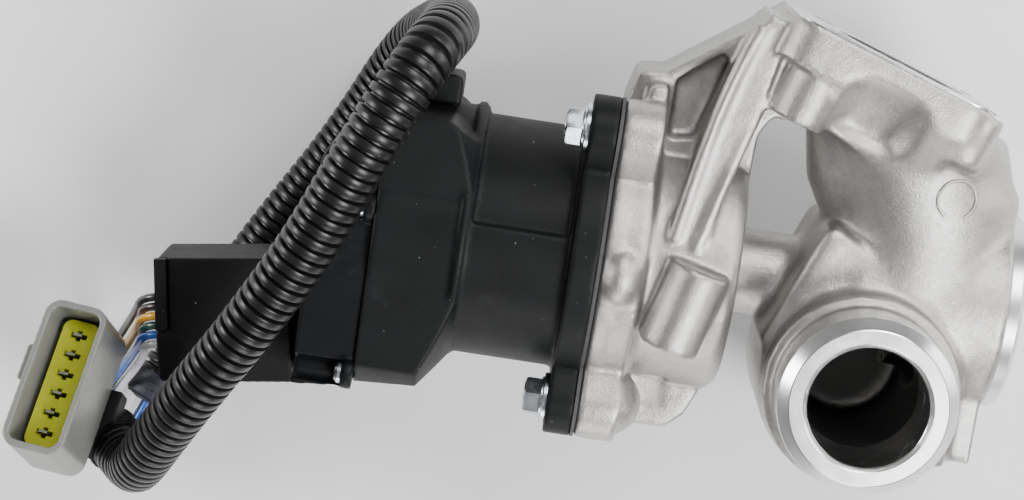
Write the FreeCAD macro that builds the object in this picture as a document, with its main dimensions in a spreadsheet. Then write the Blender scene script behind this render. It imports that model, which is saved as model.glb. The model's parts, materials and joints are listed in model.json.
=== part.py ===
"""Electric exhaust gas recirculation valve with its harness, as a parametric document.

Millimetres and degrees. Every piece is drawn about the valve axis: x runs along that axis from the joint
between motor and casting, y is up on the engine flange's side, and z points out of the outlet spigot. The
pieces are then placed so that the middle of the spigot, where it leaves its collar, is the origin.
"""
import FreeCAD, Part
import Sketcher

import math
import os
import re

from FreeCAD import Placement, Rotation, Vector

SIZES = {
    "spigot_x": 63.0, "spigot_y": -19.0, "mouth_z": 45.0,
    "can_radius": 29.4, "can_bore": 26.6, "can_length": 38.0, "window_depth": 1.6, "window_low": 6.0,
    "flange_thick": 6.4, "flange_radius": 33.0, "front_wall": 9.0,
    "bolt_circle": 37.8, "bolt_angle": 35.5, "bolt_pitch": 120.0, "lug_radius": 8.0,
    "screw_radius": 2.5, "screw_hole": 2.75, "head_across": 8.0, "head_height": 4.4,
    "washer_radius": 5.9, "washer_thick": 1.2, "screw_reach": 17.0,
    "block_end": 52.5, "block_top": 28.0, "block_bottom": 36.6, "block_half": 27.5,
    "cover_end": 66.5, "cover_top": 22.0, "cover_bottom": 37.8, "cover_half": 26.0, "cover_round": 9.0,
    "cover_wall": 2.5, "cover_screw": 1.5, "cover_head": 2.6, "head_thick": 1.8, "ear_thick": 2.5,
    "screw_row_high": 5.8, "screw_row_low": -33.5,
    "plug_x": 69.5, "plug_y": 26.9, "plug_turn": 8.7, "plug_length": 32.0, "plug_height": 30.4,
    "plug_deep": 21.0, "plug_bevel": 3.0, "nose_length": 8.0, "nose_height": 24.0, "nose_deep": 12.0,
    "way_pitch": 3.5, "terminal_half": 0.4, "fit_gap": 0.3, "close_gap": 0.15,
    "plate_thick": 3.6, "plate_radius": 32.0, "groove_radius": 30.2, "band_start": 4.8, "band_end": 9.5,
    "band_radius": 31.6, "bowl_radius": 29.2, "bowl_length": 31.5, "bowl_corner": 2.2,
    "bowl_bore": 20.0, "bowl_depth": 22.0, "pilot_radius": 25.0, "pilot_depth": 3.0, "pilot_gap": 0.1,
    "stub_radius": 10.2, "guide_radius": 4.6, "stem_radius": 2.5, "stem_gap": 0.05, "seal_depth": 4.0,
    "arm_half": 13.0, "pocket_floor": 8.0, "ridge_top": 28.0,
    "boss_radius": 7.0, "boss_z": 30.0, "boss_x": 22.4, "boss_y": 4.0, "boss_length": 20.0, "boss_tilt": 14.0,
    "boss_hole": 3.4, "boss_hole_depth": 14.0,
    "face_x": 58.0, "face_y": 56.2, "face_z": 8.5, "face_tilt": 18.3, "face_length": 50.5, "face_wide": 50.0,
    "face_thick": 10.0, "face_round": 7.0, "port_offset": 3.5, "port_radius": 12.5, "hole_step": 17.5,
    "hole_offset": 4.5, "hole_along": 18.5,
    "hole_radius": 3.3, "lug_boss": 6.6, "lug_boss_length": 22.0, "small_boss": 5.4, "small_boss_length": 14.0,
    "passage_length": 58.0, "passage_tilt": 22.0,
    "barrel_start": 50.0, "barrel_end": 94.0, "barrel_radius": 25.4, "barrel_corner": 1.2,
    "neck_top_x": 60.5, "neck_x": 73.0, "neck_z": 3.0, "neck_bend": 20.0, "neck_low": -6.0, "neck_lap": 28.6,
    "neck_radius": 22.5, "neck_sink": 5.0, "neck_reach": 46.0,
    "lobe_radius": 23.4, "lobe_back": 23.0, "lobe_front": 27.5, "collar_radius": 22.6, "collar_top": 30.5,
    "spigot_radius": 20.2, "spigot_face": 17.8, "spigot_chamfer": 2.4, "spigot_bore": 13.7,
    "spigot_depth": 56.0, "outlet_radius": 15.5, "seat_start": 70.0, "seat_end": 75.0, "seat_radius": 17.0,
    "seat_bore": 11.5, "inlet_radius": 20.0, "cap_radius": 23.2, "cap_thick": 3.4, "cap_plug": 3.0,
    "foot_x": 89.5, "foot_wide": 6.4, "foot_bottom": 35.0, "foot_low": 4.0, "foot_high": 17.0,
    "poppet_radius": 13.2, "poppet_thick": 3.2, "stem_start": 4.6, "stem_nut": 4.5, "nut_thick": 3.0,
    "retainer_radius": 11.0, "retainer_start": 7.0, "retainer_thick": 1.4,
    "spring_radius": 8.6, "spring_wire": 0.9, "spring_turns": 4.5,
    "shaft_radius": 3.5, "shaft_start": -49.5, "shaft_end": 4.3,
    "hub_radius": 9.0, "hub_bore": 3.8, "magnet_radius": 15.6, "rotor_start": -35.0, "rotor_end": -13.5,
    "journal_radius": 5.0, "journal_gap": 0.05, "journal_start": -43.6, "journal_end": -4.4,
    "bearing_radius": 8.0, "bearing_wide": 5.0, "stator_start": -37.0, "stator_end": -12.0,
    "stator_bore": 16.4, "tooth_wide": 5.0, "yoke_thick": 3.0, "coil_wall": 3.2, "end_plate_thick": 5.0,
    "nose_radius": 5.4, "gasket_thick": 0.8, "plunger_radius": 2.0, "plunger_length": 12.0,
    "sensor_half": 9.0, "sensor_front": -53.5,
    "clip_x": 44.0, "clip_wide": 13.0, "clip_top": 36.5, "clip_deep": 16.0,
    "conduit_radius": 6.6, "tape_radius": 7.2, "tape_length": 7.0, "wire_radius": 1.0, "wire_pitch": 2.3,
    "wire_drop": 1.8, "wire_exit": 5.0, "bundle_pitch": 2.5, "bundle_step": 1.3, "bundle_entry": 8.0,
    "shell_x": -123.4, "shell_y": -48.6, "shell_z": 10.0, "shell_yaw": -2.6, "shell_pitch": -11.3,
    "shell_roll": -28.7, "shell_long": 37.5, "shell_wide": 15.8, "shell_deep": 20.0, "shell_wall": 1.7,
    "shell_round": 4.0, "insert_drop": 4.5, "insert_deep": 8.0, "slot_pitch": 5.0, "slot_long": 4.0,
    "slot_wide": 1.0, "slot_deep": 4.0, "pin_long": 2.2, "pin_thick": 0.6, "pin_rise": 3.2,
    "collar_length": 7.0, "collar_wide": 7.4, "bracket_thick": 6.0,
}
BOLTS = 3
WAYS = 6
TEETH = 6
COVER_SCREWS = [(side, row) for side in (-1, 1) for row in ("screw_row_high", "screw_row_low")]
ARC_SHARE = 0.45
COIL_STEPS = 14
WIRE_SIDES = 8
WIRES = ("black", "brown", "yellow", "green", "blue", "white")
WIRE_BUNDLE = (((-107.6, -40.0, -11.0), 0.05, 0.45), ((-111.8, -48.1, -25.0), 0.25, 0.9),
               ((-116.6, -56.9, -33.0), 0.55, 1), ((-120.0, -65.6, -36.0), 0.85, 1),
               ((-118.6, -73.8, -35.5), 1, 1), ((-112.1, -77.1, -33.5), 1, 1))
CONDUIT = ((-106.1, -62.4, -33), (-101.1, -49.6, -37), (-91.8, -34.6, -38), (-80.8, -13.8, -37.5),
           (-65.5, 11.5, -37), (-53, 39, -31), (-43.5, 47.8, -6), (-41.6, 48.8, 19), (-43.2, 47.2, 37.5),
           (-48.6, 37.5, 44), (-56.5, 19.5, 44.5), (-65.8, -3.5, 41.2), (-77.2, -24.5, 36.5),
           (-88.9, -44.5, 27.5), (-95.4, -56.5, 18.5), (-100.4, -66.3, 9), (-103.7, -71.4, -0.7),
           (-108.9, -68.6, -8.1))
WORD = re.compile(r"[a-z][a-z_]+")
LAY = {"X": Rotation(Vector(0, 1, 0), 90), "Y": Rotation(Vector(1, 0, 0), -90), "Z": Rotation()}

doc = FreeCAD.newDocument("egr_valve")
sheet = doc.addObject("Spreadsheet::Sheet", "Sizes")
for row, (word, number) in enumerate(SIZES.items(), start=1):
    sheet.set(f"A{row}", word)
    sheet.set(f"B{row}", str(number))
    sheet.setAlias(f"B{row}", word)
doc.recompute()

nodes = []


def size(word):
    """Return one driving dimension as a plain number."""
    return float(sheet.get(word))


def formula(text):
    """Write the size names in a plain formula as references to the sheet."""
    return WORD.sub(lambda word: "Sizes." + word.group() if word.group() in SIZES else word.group(), text)


def bind(item, **rules):
    """Bind properties to formulas; two underscores in a key stand for a dot."""
    for key, text in rules.items():
        item.setExpression(key.replace("__", "."), formula(text))


def locate(item, x="0", y="0", z="0"):
    """Bind the place of an item."""
    bind(item, Placement__Base__x=x, Placement__Base__y=y, Placement__Base__z=z)
    return item


def cylinder(name, radius, length, x="0", y="0", z="0", axis="X"):
    """Add a round bar that runs from its place along an axis."""
    item = doc.addObject("Part::Cylinder", name)
    item.Placement.Rotation = LAY[axis]
    bind(item, Radius=radius, Height=length)
    return locate(item, x, y, z)


def box(name, length, width, height, x, y, z):
    """Add a block from its lowest corner."""
    item = doc.addObject("Part::Box", name)
    bind(item, Length=length, Width=width, Height=height)
    return locate(item, x, y, z)


def held(name, *items):
    """Hold items together as they are, to be placed as one."""
    item = doc.addObject("Part::Compound", name)
    item.Links = list(items)
    return item


def fuse(name, *items):
    """Join items into one solid, or group them when they lie apart."""
    item = doc.addObject("Part::MultiFuse", name)
    item.Shapes = list(items)
    item.Refine = True
    return item


def cut(name, base, *tools):
    """Take tools away from a base."""
    item = doc.addObject("Part::Cut", name)
    item.Base = base
    item.Tool = tools[0] if len(tools) == 1 else fuse(name + "_tools", *tools)
    item.Refine = True
    return item


def carve(name, base, *tools):
    """Take tools away from a base one after another, for tools that run into each other."""
    for tool in tools:
        base = cut(f"{name}_{tool.Name}", base, tool)
    return base


def common(name, first, second):
    """Keep what two items share."""
    item = doc.addObject("Part::Common", name)
    item.Base = first
    item.Tool = second
    return item


def outline(body, name, points, plane, offset="0"):
    """Draw a closed outline in a body whose corners are bound to formulas."""
    sketch = body.newObject("Sketcher::SketchObject", name)
    origin = [item for item in body.Origin.OriginFeatures if item.Role == plane][0]
    sketch.AttachmentSupport = (origin, [""])
    sketch.MapMode = "FlatFace"
    bind(sketch, AttachmentOffset__Base__z=offset)
    count = len(points)
    turn = 2 * math.pi / count
    spots = [Vector(math.cos(turn * k), math.sin(turn * k), 0) for k in range(count)]
    for k in range(count):
        sketch.addGeometry(Part.LineSegment(spots[k], spots[(k + 1) % count]))
    for k, (across, up) in enumerate(points):
        sketch.addConstraint(Sketcher.Constraint("Coincident", (k - 1) % count, 2, k, 1))
        for kind, line, text, start in (("DistanceX", -2, across, spots[k].x), ("DistanceY", -1, up, spots[k].y)):
            if text == "0":
                sketch.addConstraint(Sketcher.Constraint("PointOnObject", k, 1, line))
            else:
                index = sketch.addConstraint(Sketcher.Constraint(kind, -1, 1, k, 1, start))
                sketch.setExpression(f"Constraints[{index}]", formula(text))
    return sketch


def turned(name, profile):
    """Turn a profile of (x, radius) corners about the valve axis."""
    body = doc.addObject("PartDesign::Body", name)
    turn = body.newObject("PartDesign::Revolution", name + "_turn")
    turn.Profile = outline(body, name + "_profile", profile, "XY_Plane")
    turn.ReferenceAxis = (turn.Profile[0], ["H_Axis"])
    turn.Angle = 360
    body.Tip = turn
    return body


def ring(name, inner, outer, start, end):
    """Turn a plain ring about the valve axis."""
    return turned(name, [(start, inner), (end, inner), (end, outer), (start, outer)])


def padded(name, points, low, high, plane="XY_Plane", rounded=(), radius=None):
    """Pad an outline from one level to another and round the corners whose numbers are given."""
    body = doc.addObject("PartDesign::Body", name)
    sketch = outline(body, name + "_outline", points, plane, low)
    pad = body.newObject("PartDesign::Pad", name + "_pad")
    pad.Profile = sketch
    bind(pad, Length=f"({high}) - ({low})")
    body.Tip = pad
    if rounded:
        doc.recompute()
        corners = [sketch.Placement.multVec(sketch.Geometry[k].StartPoint) for k in rounded]
        along = sketch.Placement.Rotation.multVec(Vector(0, 0, 1))
        found = []
        for number, edge in enumerate(pad.Shape.Edges, start=1):
            ends = [vertex.Point for vertex in edge.Vertexes]
            if len(ends) == 2 and (ends[1] - ends[0]).cross(along).Length < 1e-6:
                for corner in corners:
                    if (ends[0] - corner).cross(along).Length < 1e-4:
                        found.append(f"Edge{number}")
        fillet = body.newObject("PartDesign::Fillet", name + "_round")
        fillet.Base = (pad, found)
        bind(fillet, Radius=radius)
        body.Tip = fillet
    return body


def node(label, item, frame=None):
    """Name a finished piece and move it from the valve axis to the spigot's shoulder."""
    item.Label = label
    shift = Vector(-size("spigot_x"), -size("spigot_y"), -size("collar_top"))
    if frame is None:
        item.Placement.Base = shift
        locate(item, "-spigot_x", "-spigot_y", "-collar_top")
    else:
        item.Placement = Placement(shift, Rotation()).multiply(frame)
    nodes.append(item)
    return item


def feature(name, shape):
    """Add a piece whose shape is worked out here from the sizes."""
    item = doc.addObject("Part::Feature", name)
    item.Shape = shape
    return item


def bolt_place(number):
    """Return the y and z of one flange screw as formulas."""
    angle = f"(bolt_angle + bolt_pitch * {number})"
    return f"bolt_circle * cos({angle})", f"bolt_circle * sin({angle})"


def lug_ring(name, start, end):
    """Return the three lugs of a flange, each with its web to the axis."""
    parts = []
    for number in range(BOLTS):
        y, z = bolt_place(number)
        parts.append(cylinder(f"{name}_lug_{number}", "lug_radius", f"({end}) - ({start})", start, y, z))
        web = padded(f"{name}_web_{number}", [("0", "-lug_radius"), ("bolt_circle", "-lug_radius"),
                                              ("bolt_circle", "lug_radius"), ("0", "lug_radius")],
                     start, end, "YZ_Plane")
        web.Placement.Rotation = Rotation(Vector(1, 0, 0), 1)
        bind(web, Placement__Rotation__Angle=f"bolt_angle + bolt_pitch * {number}")
        parts.append(web)
    return parts


def bolt_holes(name, start, end):
    """Return the three clearance holes of a flange."""
    return [cylinder(f"{name}_hole_{number}", "screw_hole", f"({end}) - ({start})", start, *bolt_place(number))
            for number in range(BOLTS)]


def casting():
    """Die-cast body: actuator bowl, arm, engine flange, neck, gas barrel and outlet spigot."""
    bowl = turned("bowl", [("0", "0"), ("0", "plate_radius"), ("plate_thick", "plate_radius"),
                           ("plate_thick", "groove_radius"), ("band_start", "groove_radius"),
                           ("band_start", "band_radius"), ("band_end", "band_radius"),
                           ("band_end + 1", "bowl_radius"), ("bowl_length - bowl_corner", "bowl_radius"),
                           ("bowl_length", "bowl_radius - bowl_corner"), ("bowl_length", "0")])
    stub = cylinder("stub", "stub_radius", "barrel_start + 6 - bowl_length", "bowl_length - 3")
    arm = padded("arm", [("9", "0"), ("0.4", "22"), ("0.4", "37"), ("2.4", "44.6"), ("8.5", "45.2"),
                         ("33.5", "63.2"), ("42", "60"), ("37.6", "38"), ("34.3", "38.6"), ("31.8", "34"),
                         ("bowl_length", "27"), ("bowl_length", "0")], "-arm_half", "arm_half",
                 rounded=(3, 4, 8), radius="2")
    band = padded("arm_band", [("band_start", "20"), ("band_start", "42"), ("band_end", "43"),
                               ("band_end", "20")], "-arm_half - 4", "arm_half + 8", rounded=(1, 2), radius="1.5")
    ridge = padded("ridge", [("14", "4"), ("18.6", "32.7"), ("24.7", "54.6"), ("29", "63"), ("34", "61"),
                             ("30.5", "43.2"), ("26.5", "31"), ("23", "4")], "0", "ridge_top")
    back_rib = padded("back_rib", [("16", "10"), ("24", "52"), ("30", "61"), ("34", "58"), ("24", "10")],
                      "-arm_half - 8", "0")
    boss = cylinder("long_boss", "boss_radius", "boss_length", axis="Y")
    boss_web = box("long_boss_web", "5", "boss_length - 4", "boss_radius + 2", "-boss_radius - 3.5", "2",
                   "-boss_radius - 4")
    long_boss = fuse("long_boss_group", boss, boss_web)
    tilt_boss(long_boss, "boss_length")
    side_pad = cylinder("side_pad", "7", "5.4", "0.6", "-0.5", "bowl_radius - 4.6")
    skirt = padded("skirt", [("3", "-20"), ("3", "-34.4"), ("12", "-38.8"), ("21", "-38.8"), ("25.5", "-35"),
                             ("28", "-29"), ("28", "-20")], "-10", "10", rounded=(2, 3, 4), radius="2.5")
    barrel = turned("barrel", [("barrel_start - 2", "0"), ("barrel_start - 2", "11"),
                               ("barrel_start + 4", "barrel_radius - 4"), ("barrel_start + 9", "barrel_radius"),
                               ("barrel_end - barrel_corner", "barrel_radius"),
                               ("barrel_end", "barrel_radius - barrel_corner"), ("barrel_end", "0")])
    lobe = lying_along_z("lobe", [("-lobe_back", "0"), ("-lobe_back", "lobe_radius - 6"),
                                  ("-lobe_back + 6", "lobe_radius"), ("lobe_front - 3", "lobe_radius"),
                                  ("lobe_front", "lobe_radius - 1.5"), ("lobe_front", "0")])
    cheek = padded("cheek", [("50.5", "18.5"), ("38.4", "-12"), ("spigot_x", "-30"), ("78", "-20"),
                             ("72", "4")], "-lobe_back + 5", "lobe_front - 4", rounded=(0,), radius="3")
    foot = box("foot", "foot_wide", "foot_bottom - 10", "foot_high - foot_low", "foot_x - foot_wide / 2",
               "-foot_bottom", "foot_low")
    toe = box("toe", "8", "14", "9", "foot_x - 11", "-foot_bottom - 1", "foot_high - 4")
    spigot = lying_along_z("spigot", [("lobe_front - 4", "0"), ("lobe_front - 4", "collar_radius"),
                                      ("collar_top", "collar_radius"), ("collar_top", "spigot_radius"),
                                      ("mouth_z - spigot_chamfer", "spigot_radius"),
                                      ("mouth_z", "spigot_face"), ("mouth_z", "0")])
    solid = fuse("casting_solid", bowl, *lug_ring("casting", "0", "band_end"), stub, arm, band, ridge, back_rib,
                 long_boss, side_pad, skirt, barrel, lobe, cheek, *neck_parts(), foot, toe, spigot,
                 on_face(fuse("face_group", *face_solids())))
    node("valve_body", carve("casting", solid, *casting_cavities()))


def lying_along_z(name, profile):
    """Turn a profile of (z, radius) corners about the outlet spigot's axis."""
    item = held(name + "_place", turned(name, profile))
    item.Placement.Rotation = Rotation(Vector(0, 1, 0), -90)
    return locate(item, "spigot_x", "spigot_y")


def tilt_boss(item, back):
    """Lay an item on the long boss's axis, its own y axis pointing up that boss."""
    item.Placement.Rotation = Rotation(Vector(0, 0, 1), -1)
    bind(item, Placement__Rotation__Angle="-boss_tilt")
    locate(item, f"boss_x - ({back}) * sin(boss_tilt)", f"boss_y - ({back}) * cos(boss_tilt)", "boss_z")
    return item


def neck_parts():
    """Return the neck: a round pipe at a slant up to the engine flange, and straight down into the barrel."""
    bend = Vector(size("neck_x"), size("neck_bend"), size("neck_z"))
    top = Vector(size("neck_top_x"), size("face_y"), size("face_z"))
    slant = cylinder("neck_slant", "neck_radius", "neck_reach", "neck_x", "neck_bend", "neck_z")
    slant.Placement.Rotation = Rotation(Vector(0, 0, 1), top - bend)
    roof = box("neck_roof", "4 * neck_radius", "2 * neck_radius", "4 * neck_radius", "-2 * neck_radius",
               "-neck_sink", "-2 * neck_radius")
    drop = cylinder("neck_drop", "neck_radius", "neck_lap - neck_low", "neck_x", "neck_low", "neck_z", "Y")
    return [cut("neck_below_flange", slant, on_face(held("neck_roof_place", roof))), drop]


def on_face(item):
    """Lay an item on the engine flange: it is drawn about the middle of the flange, y out of its face."""
    item.Placement.Rotation = Rotation(Vector(0, 0, 1), -1)
    bind(item, Placement__Rotation__Angle="-face_tilt")
    return locate(item, "face_x", "face_y", "face_z")


def face_holes():
    """Return the four hole places of the engine flange as (along, across, front) signs."""
    return [(f"hole_offset + ({along}) * hole_along", f"({deep}) * hole_step", along, deep)
            for along in (-1, 1) for deep in (-1, 1)]


def face_solids():
    """Return the engine flange's plate and the bosses below it."""
    half, wide = "face_length / 2", "face_wide / 2"
    plate = padded("face_plate", [(f"-{half}", f"-{wide}"), (half, f"-{wide}"), (half, wide), (f"-{half}", wide)],
                   "0", "face_thick", "XZ_Plane", rounded=(0, 1, 2, 3), radius="face_round")
    parts = [plate]
    for x, z, along, deep in face_holes():
        big = along < 0 < deep
        radius, length = ("lug_boss", "lug_boss_length") if big else ("small_boss", "small_boss_length")
        parts.append(cylinder(f"face_boss_{along}_{deep}".replace("-", "n"), radius, f"{length} - 1", x,
                              f"-{length}", z, "Y"))
    return parts


def casting_cavities():
    """Return everything that is cored or machined out of the casting."""
    passage = cylinder("passage", "port_radius", "passage_length", axis="Y")
    passage.Placement.Rotation = Rotation(Vector(0, 0, 1), 180).multiply(Rotation(Vector(1, 0, 0), -90))
    slanted = held("passage_place", passage)
    slanted.Placement.Rotation = Rotation(Vector(0, 0, 1), 1)
    bind(slanted, Placement__Rotation__Angle="passage_tilt")
    port = "port_offset * cos(face_tilt)", "port_offset * sin(face_tilt)"
    locate(slanted, f"face_x + {port[0]} - 2 * sin(passage_tilt)", f"face_y - {port[1]} + 2 * cos(passage_tilt)",
           "face_z")
    holes = [cylinder(f"face_hole_{along}_{deep}".replace("-", "n"), "hole_radius", "60", x, "-30", z, "Y")
             for x, z, along, deep in face_holes() if along < 0 < deep]
    blind = [cylinder(f"face_tap_{along}_{deep}".replace("-", "n"), "hole_radius", "small_boss_length", x,
                      "-small_boss_length + 2", z, "Y")
             for x, z, along, deep in face_holes() if not along < 0 < deep]
    boss_hole = cylinder("boss_hole", "boss_hole", "boss_hole_depth + 1", "0", "-1", axis="Y")
    inner = turned("inner", [("-1", "0"), ("-1", "pilot_radius"), ("pilot_depth", "pilot_radius"),
                             ("pilot_depth", "bowl_bore"), ("bowl_depth", "bowl_bore"),
                             ("bowl_depth", "guide_radius"), ("barrel_start + 4", "guide_radius"),
                             ("barrel_start + 4", "outlet_radius - 3"), ("barrel_start + 7", "outlet_radius"),
                             ("seat_start", "outlet_radius"), ("seat_start", "seat_radius"),
                             ("seat_end", "seat_radius"), ("seat_end", "inlet_radius"),
                             ("barrel_end + 1", "inlet_radius"), ("barrel_end + 1", "0")])
    bore = cylinder("outlet_bore", "spigot_bore", "spigot_depth + 1", "spigot_x", "spigot_y",
                    "mouth_z - spigot_depth", "Z")
    pocket = padded("arm_pocket", [("band_end + 1.5", "30"), ("band_end + 1.5", "43.6"), ("23.5", "53.6"),
                                   ("17.2", "31")], "pocket_floor", "ridge_top + 12", rounded=(0, 1, 2, 3),
                    radius="1.5")
    scoop = padded("neck_scoop", [("49.5", "43"), ("51", "37"), ("58", "33.5"), ("64", "38"), ("62.5", "42")],
                   "lobe_front - 7", "lobe_front + 14", rounded=(1, 2, 3, 4), radius="1.5")
    notch = box("skirt_notch", "9", "8", "40", "11", "-34", "6")
    cap_seat = cylinder("cap_seat", "cap_radius + fit_gap", "20", "barrel_end")
    return [slanted, on_face(fuse("face_cuts", *holes, *blind)), tilt_boss(held("boss_cut", boss_hole), "boss_length"),
            inner, cap_seat, bore, pocket, scoop, notch, *bolt_holes("casting", "-1", "band_end + 8")]


def valve_parts():
    """Pieces in the casting: seat, stem, poppet, spring and what guides them."""
    node("end_cap", turned("cap", [("barrel_end - cap_plug", "0"), ("barrel_end - cap_plug", "inlet_radius"),
                                   ("barrel_end", "inlet_radius"), ("barrel_end", "cap_radius"),
                                   ("barrel_end + cap_thick - 1", "cap_radius"),
                                   ("barrel_end + cap_thick", "cap_radius - 1"),
                                   ("barrel_end + cap_thick", "0")]))
    node("seat_ring", turned("seat", [("seat_start", "seat_bore + 1"), ("seat_start + 1", "seat_bore"),
                                      ("seat_end", "seat_bore"), ("seat_end", "seat_radius"),
                                      ("seat_start", "seat_radius")]))
    node("stem_bush", ring("bush", "stem_radius + stem_gap", "guide_radius", "bowl_depth + seal_depth + 1",
                           "barrel_start + 4"))
    node("stem_seal", ring("seal", "stem_radius + stem_gap", "guide_radius", "bowl_depth + 0.4",
                           "bowl_depth + seal_depth + 0.4"))
    start = "seat_end + fit_gap"
    node("valve_stem", turned("stem", [("stem_start", "0"), ("stem_start", "stem_radius - 0.6"),
                                       ("stem_start + 0.8", "stem_radius"),
                                       (f"{start} + poppet_thick + nut_thick + 1", "stem_radius"),
                                       (f"{start} + poppet_thick + nut_thick + 2", "stem_radius - 1"),
                                       (f"{start} + poppet_thick + nut_thick + 2", "0")]))
    node("poppet", turned("disc", [(start, "stem_radius"), (start, "seat_bore + 0.6"),
                                   (f"{start} + 0.7", "poppet_radius"), (f"{start} + 2", "poppet_radius"),
                                   (f"{start} + poppet_thick", "7"), (f"{start} + poppet_thick", "stem_radius")]))
    node("poppet_nut", ring("poppet_nut_ring", "stem_radius", "stem_nut", f"{start} + poppet_thick",
                            f"{start} + poppet_thick + nut_thick"))
    node("spring_retainer", turned("retainer", [("retainer_start", "stem_radius"),
                                                ("retainer_start", "retainer_radius"),
                                                ("retainer_start + retainer_thick", "retainer_radius"),
                                                ("retainer_start + retainer_thick", "spring_radius - 2"),
                                                ("retainer_start + retainer_thick + 2", "spring_radius - 2.5"),
                                                ("retainer_start + retainer_thick + 2", "stem_radius")]))
    low = size("retainer_start") + size("retainer_thick") + size("spring_wire") + size("close_gap")
    high = size("bowl_depth") - size("spring_wire") - size("close_gap")
    node("return_spring", feature("spring", coil(low, high)))
    gasket = ring("gasket_ring", "pilot_radius", "plate_radius", "-gasket_thick", "0")
    lugs = fuse("gasket_all", gasket, *lug_ring("gasket", "-gasket_thick", "0"))
    middle = cylinder("gasket_middle", "pilot_radius", "4", "-2")
    node("flange_gasket", cut("gasket_cut", lugs, middle, *bolt_holes("gasket", "-2", "2")))


def coil(low, high):
    """Wind the spring's wire from one level to another as a fine polygon about the valve axis."""
    steps = round(COIL_STEPS * size("spring_turns"))
    around = 2 * math.pi * size("spring_turns") / steps
    reach, wire = size("spring_radius"), size("spring_wire")
    rings = []
    for step in range(steps + 1):
        centre = low + (high - low) * step / steps
        angle = around * step
        points = []
        for side in range(WIRE_SIDES):
            lean = 2 * math.pi * side / WIRE_SIDES
            out = reach + wire * math.cos(lean)
            points.append(Vector(centre + wire * math.sin(lean), out * math.cos(angle), out * math.sin(angle)))
        rings.append(points)
    faces = [facet(rings[0]), facet(rings[-1])]
    for before, after in zip(rings, rings[1:]):
        for side in range(WIRE_SIDES):
            other = (side + 1) % WIRE_SIDES
            faces.append(facet([before[side], before[other], after[side]]))
            faces.append(facet([before[other], after[other], after[side]]))
    return Part.Solid(Part.Shell(faces))


def facet(points):
    """Return the flat face between points."""
    return Part.Face(Part.makePolygon(points + points[:1]))


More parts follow.
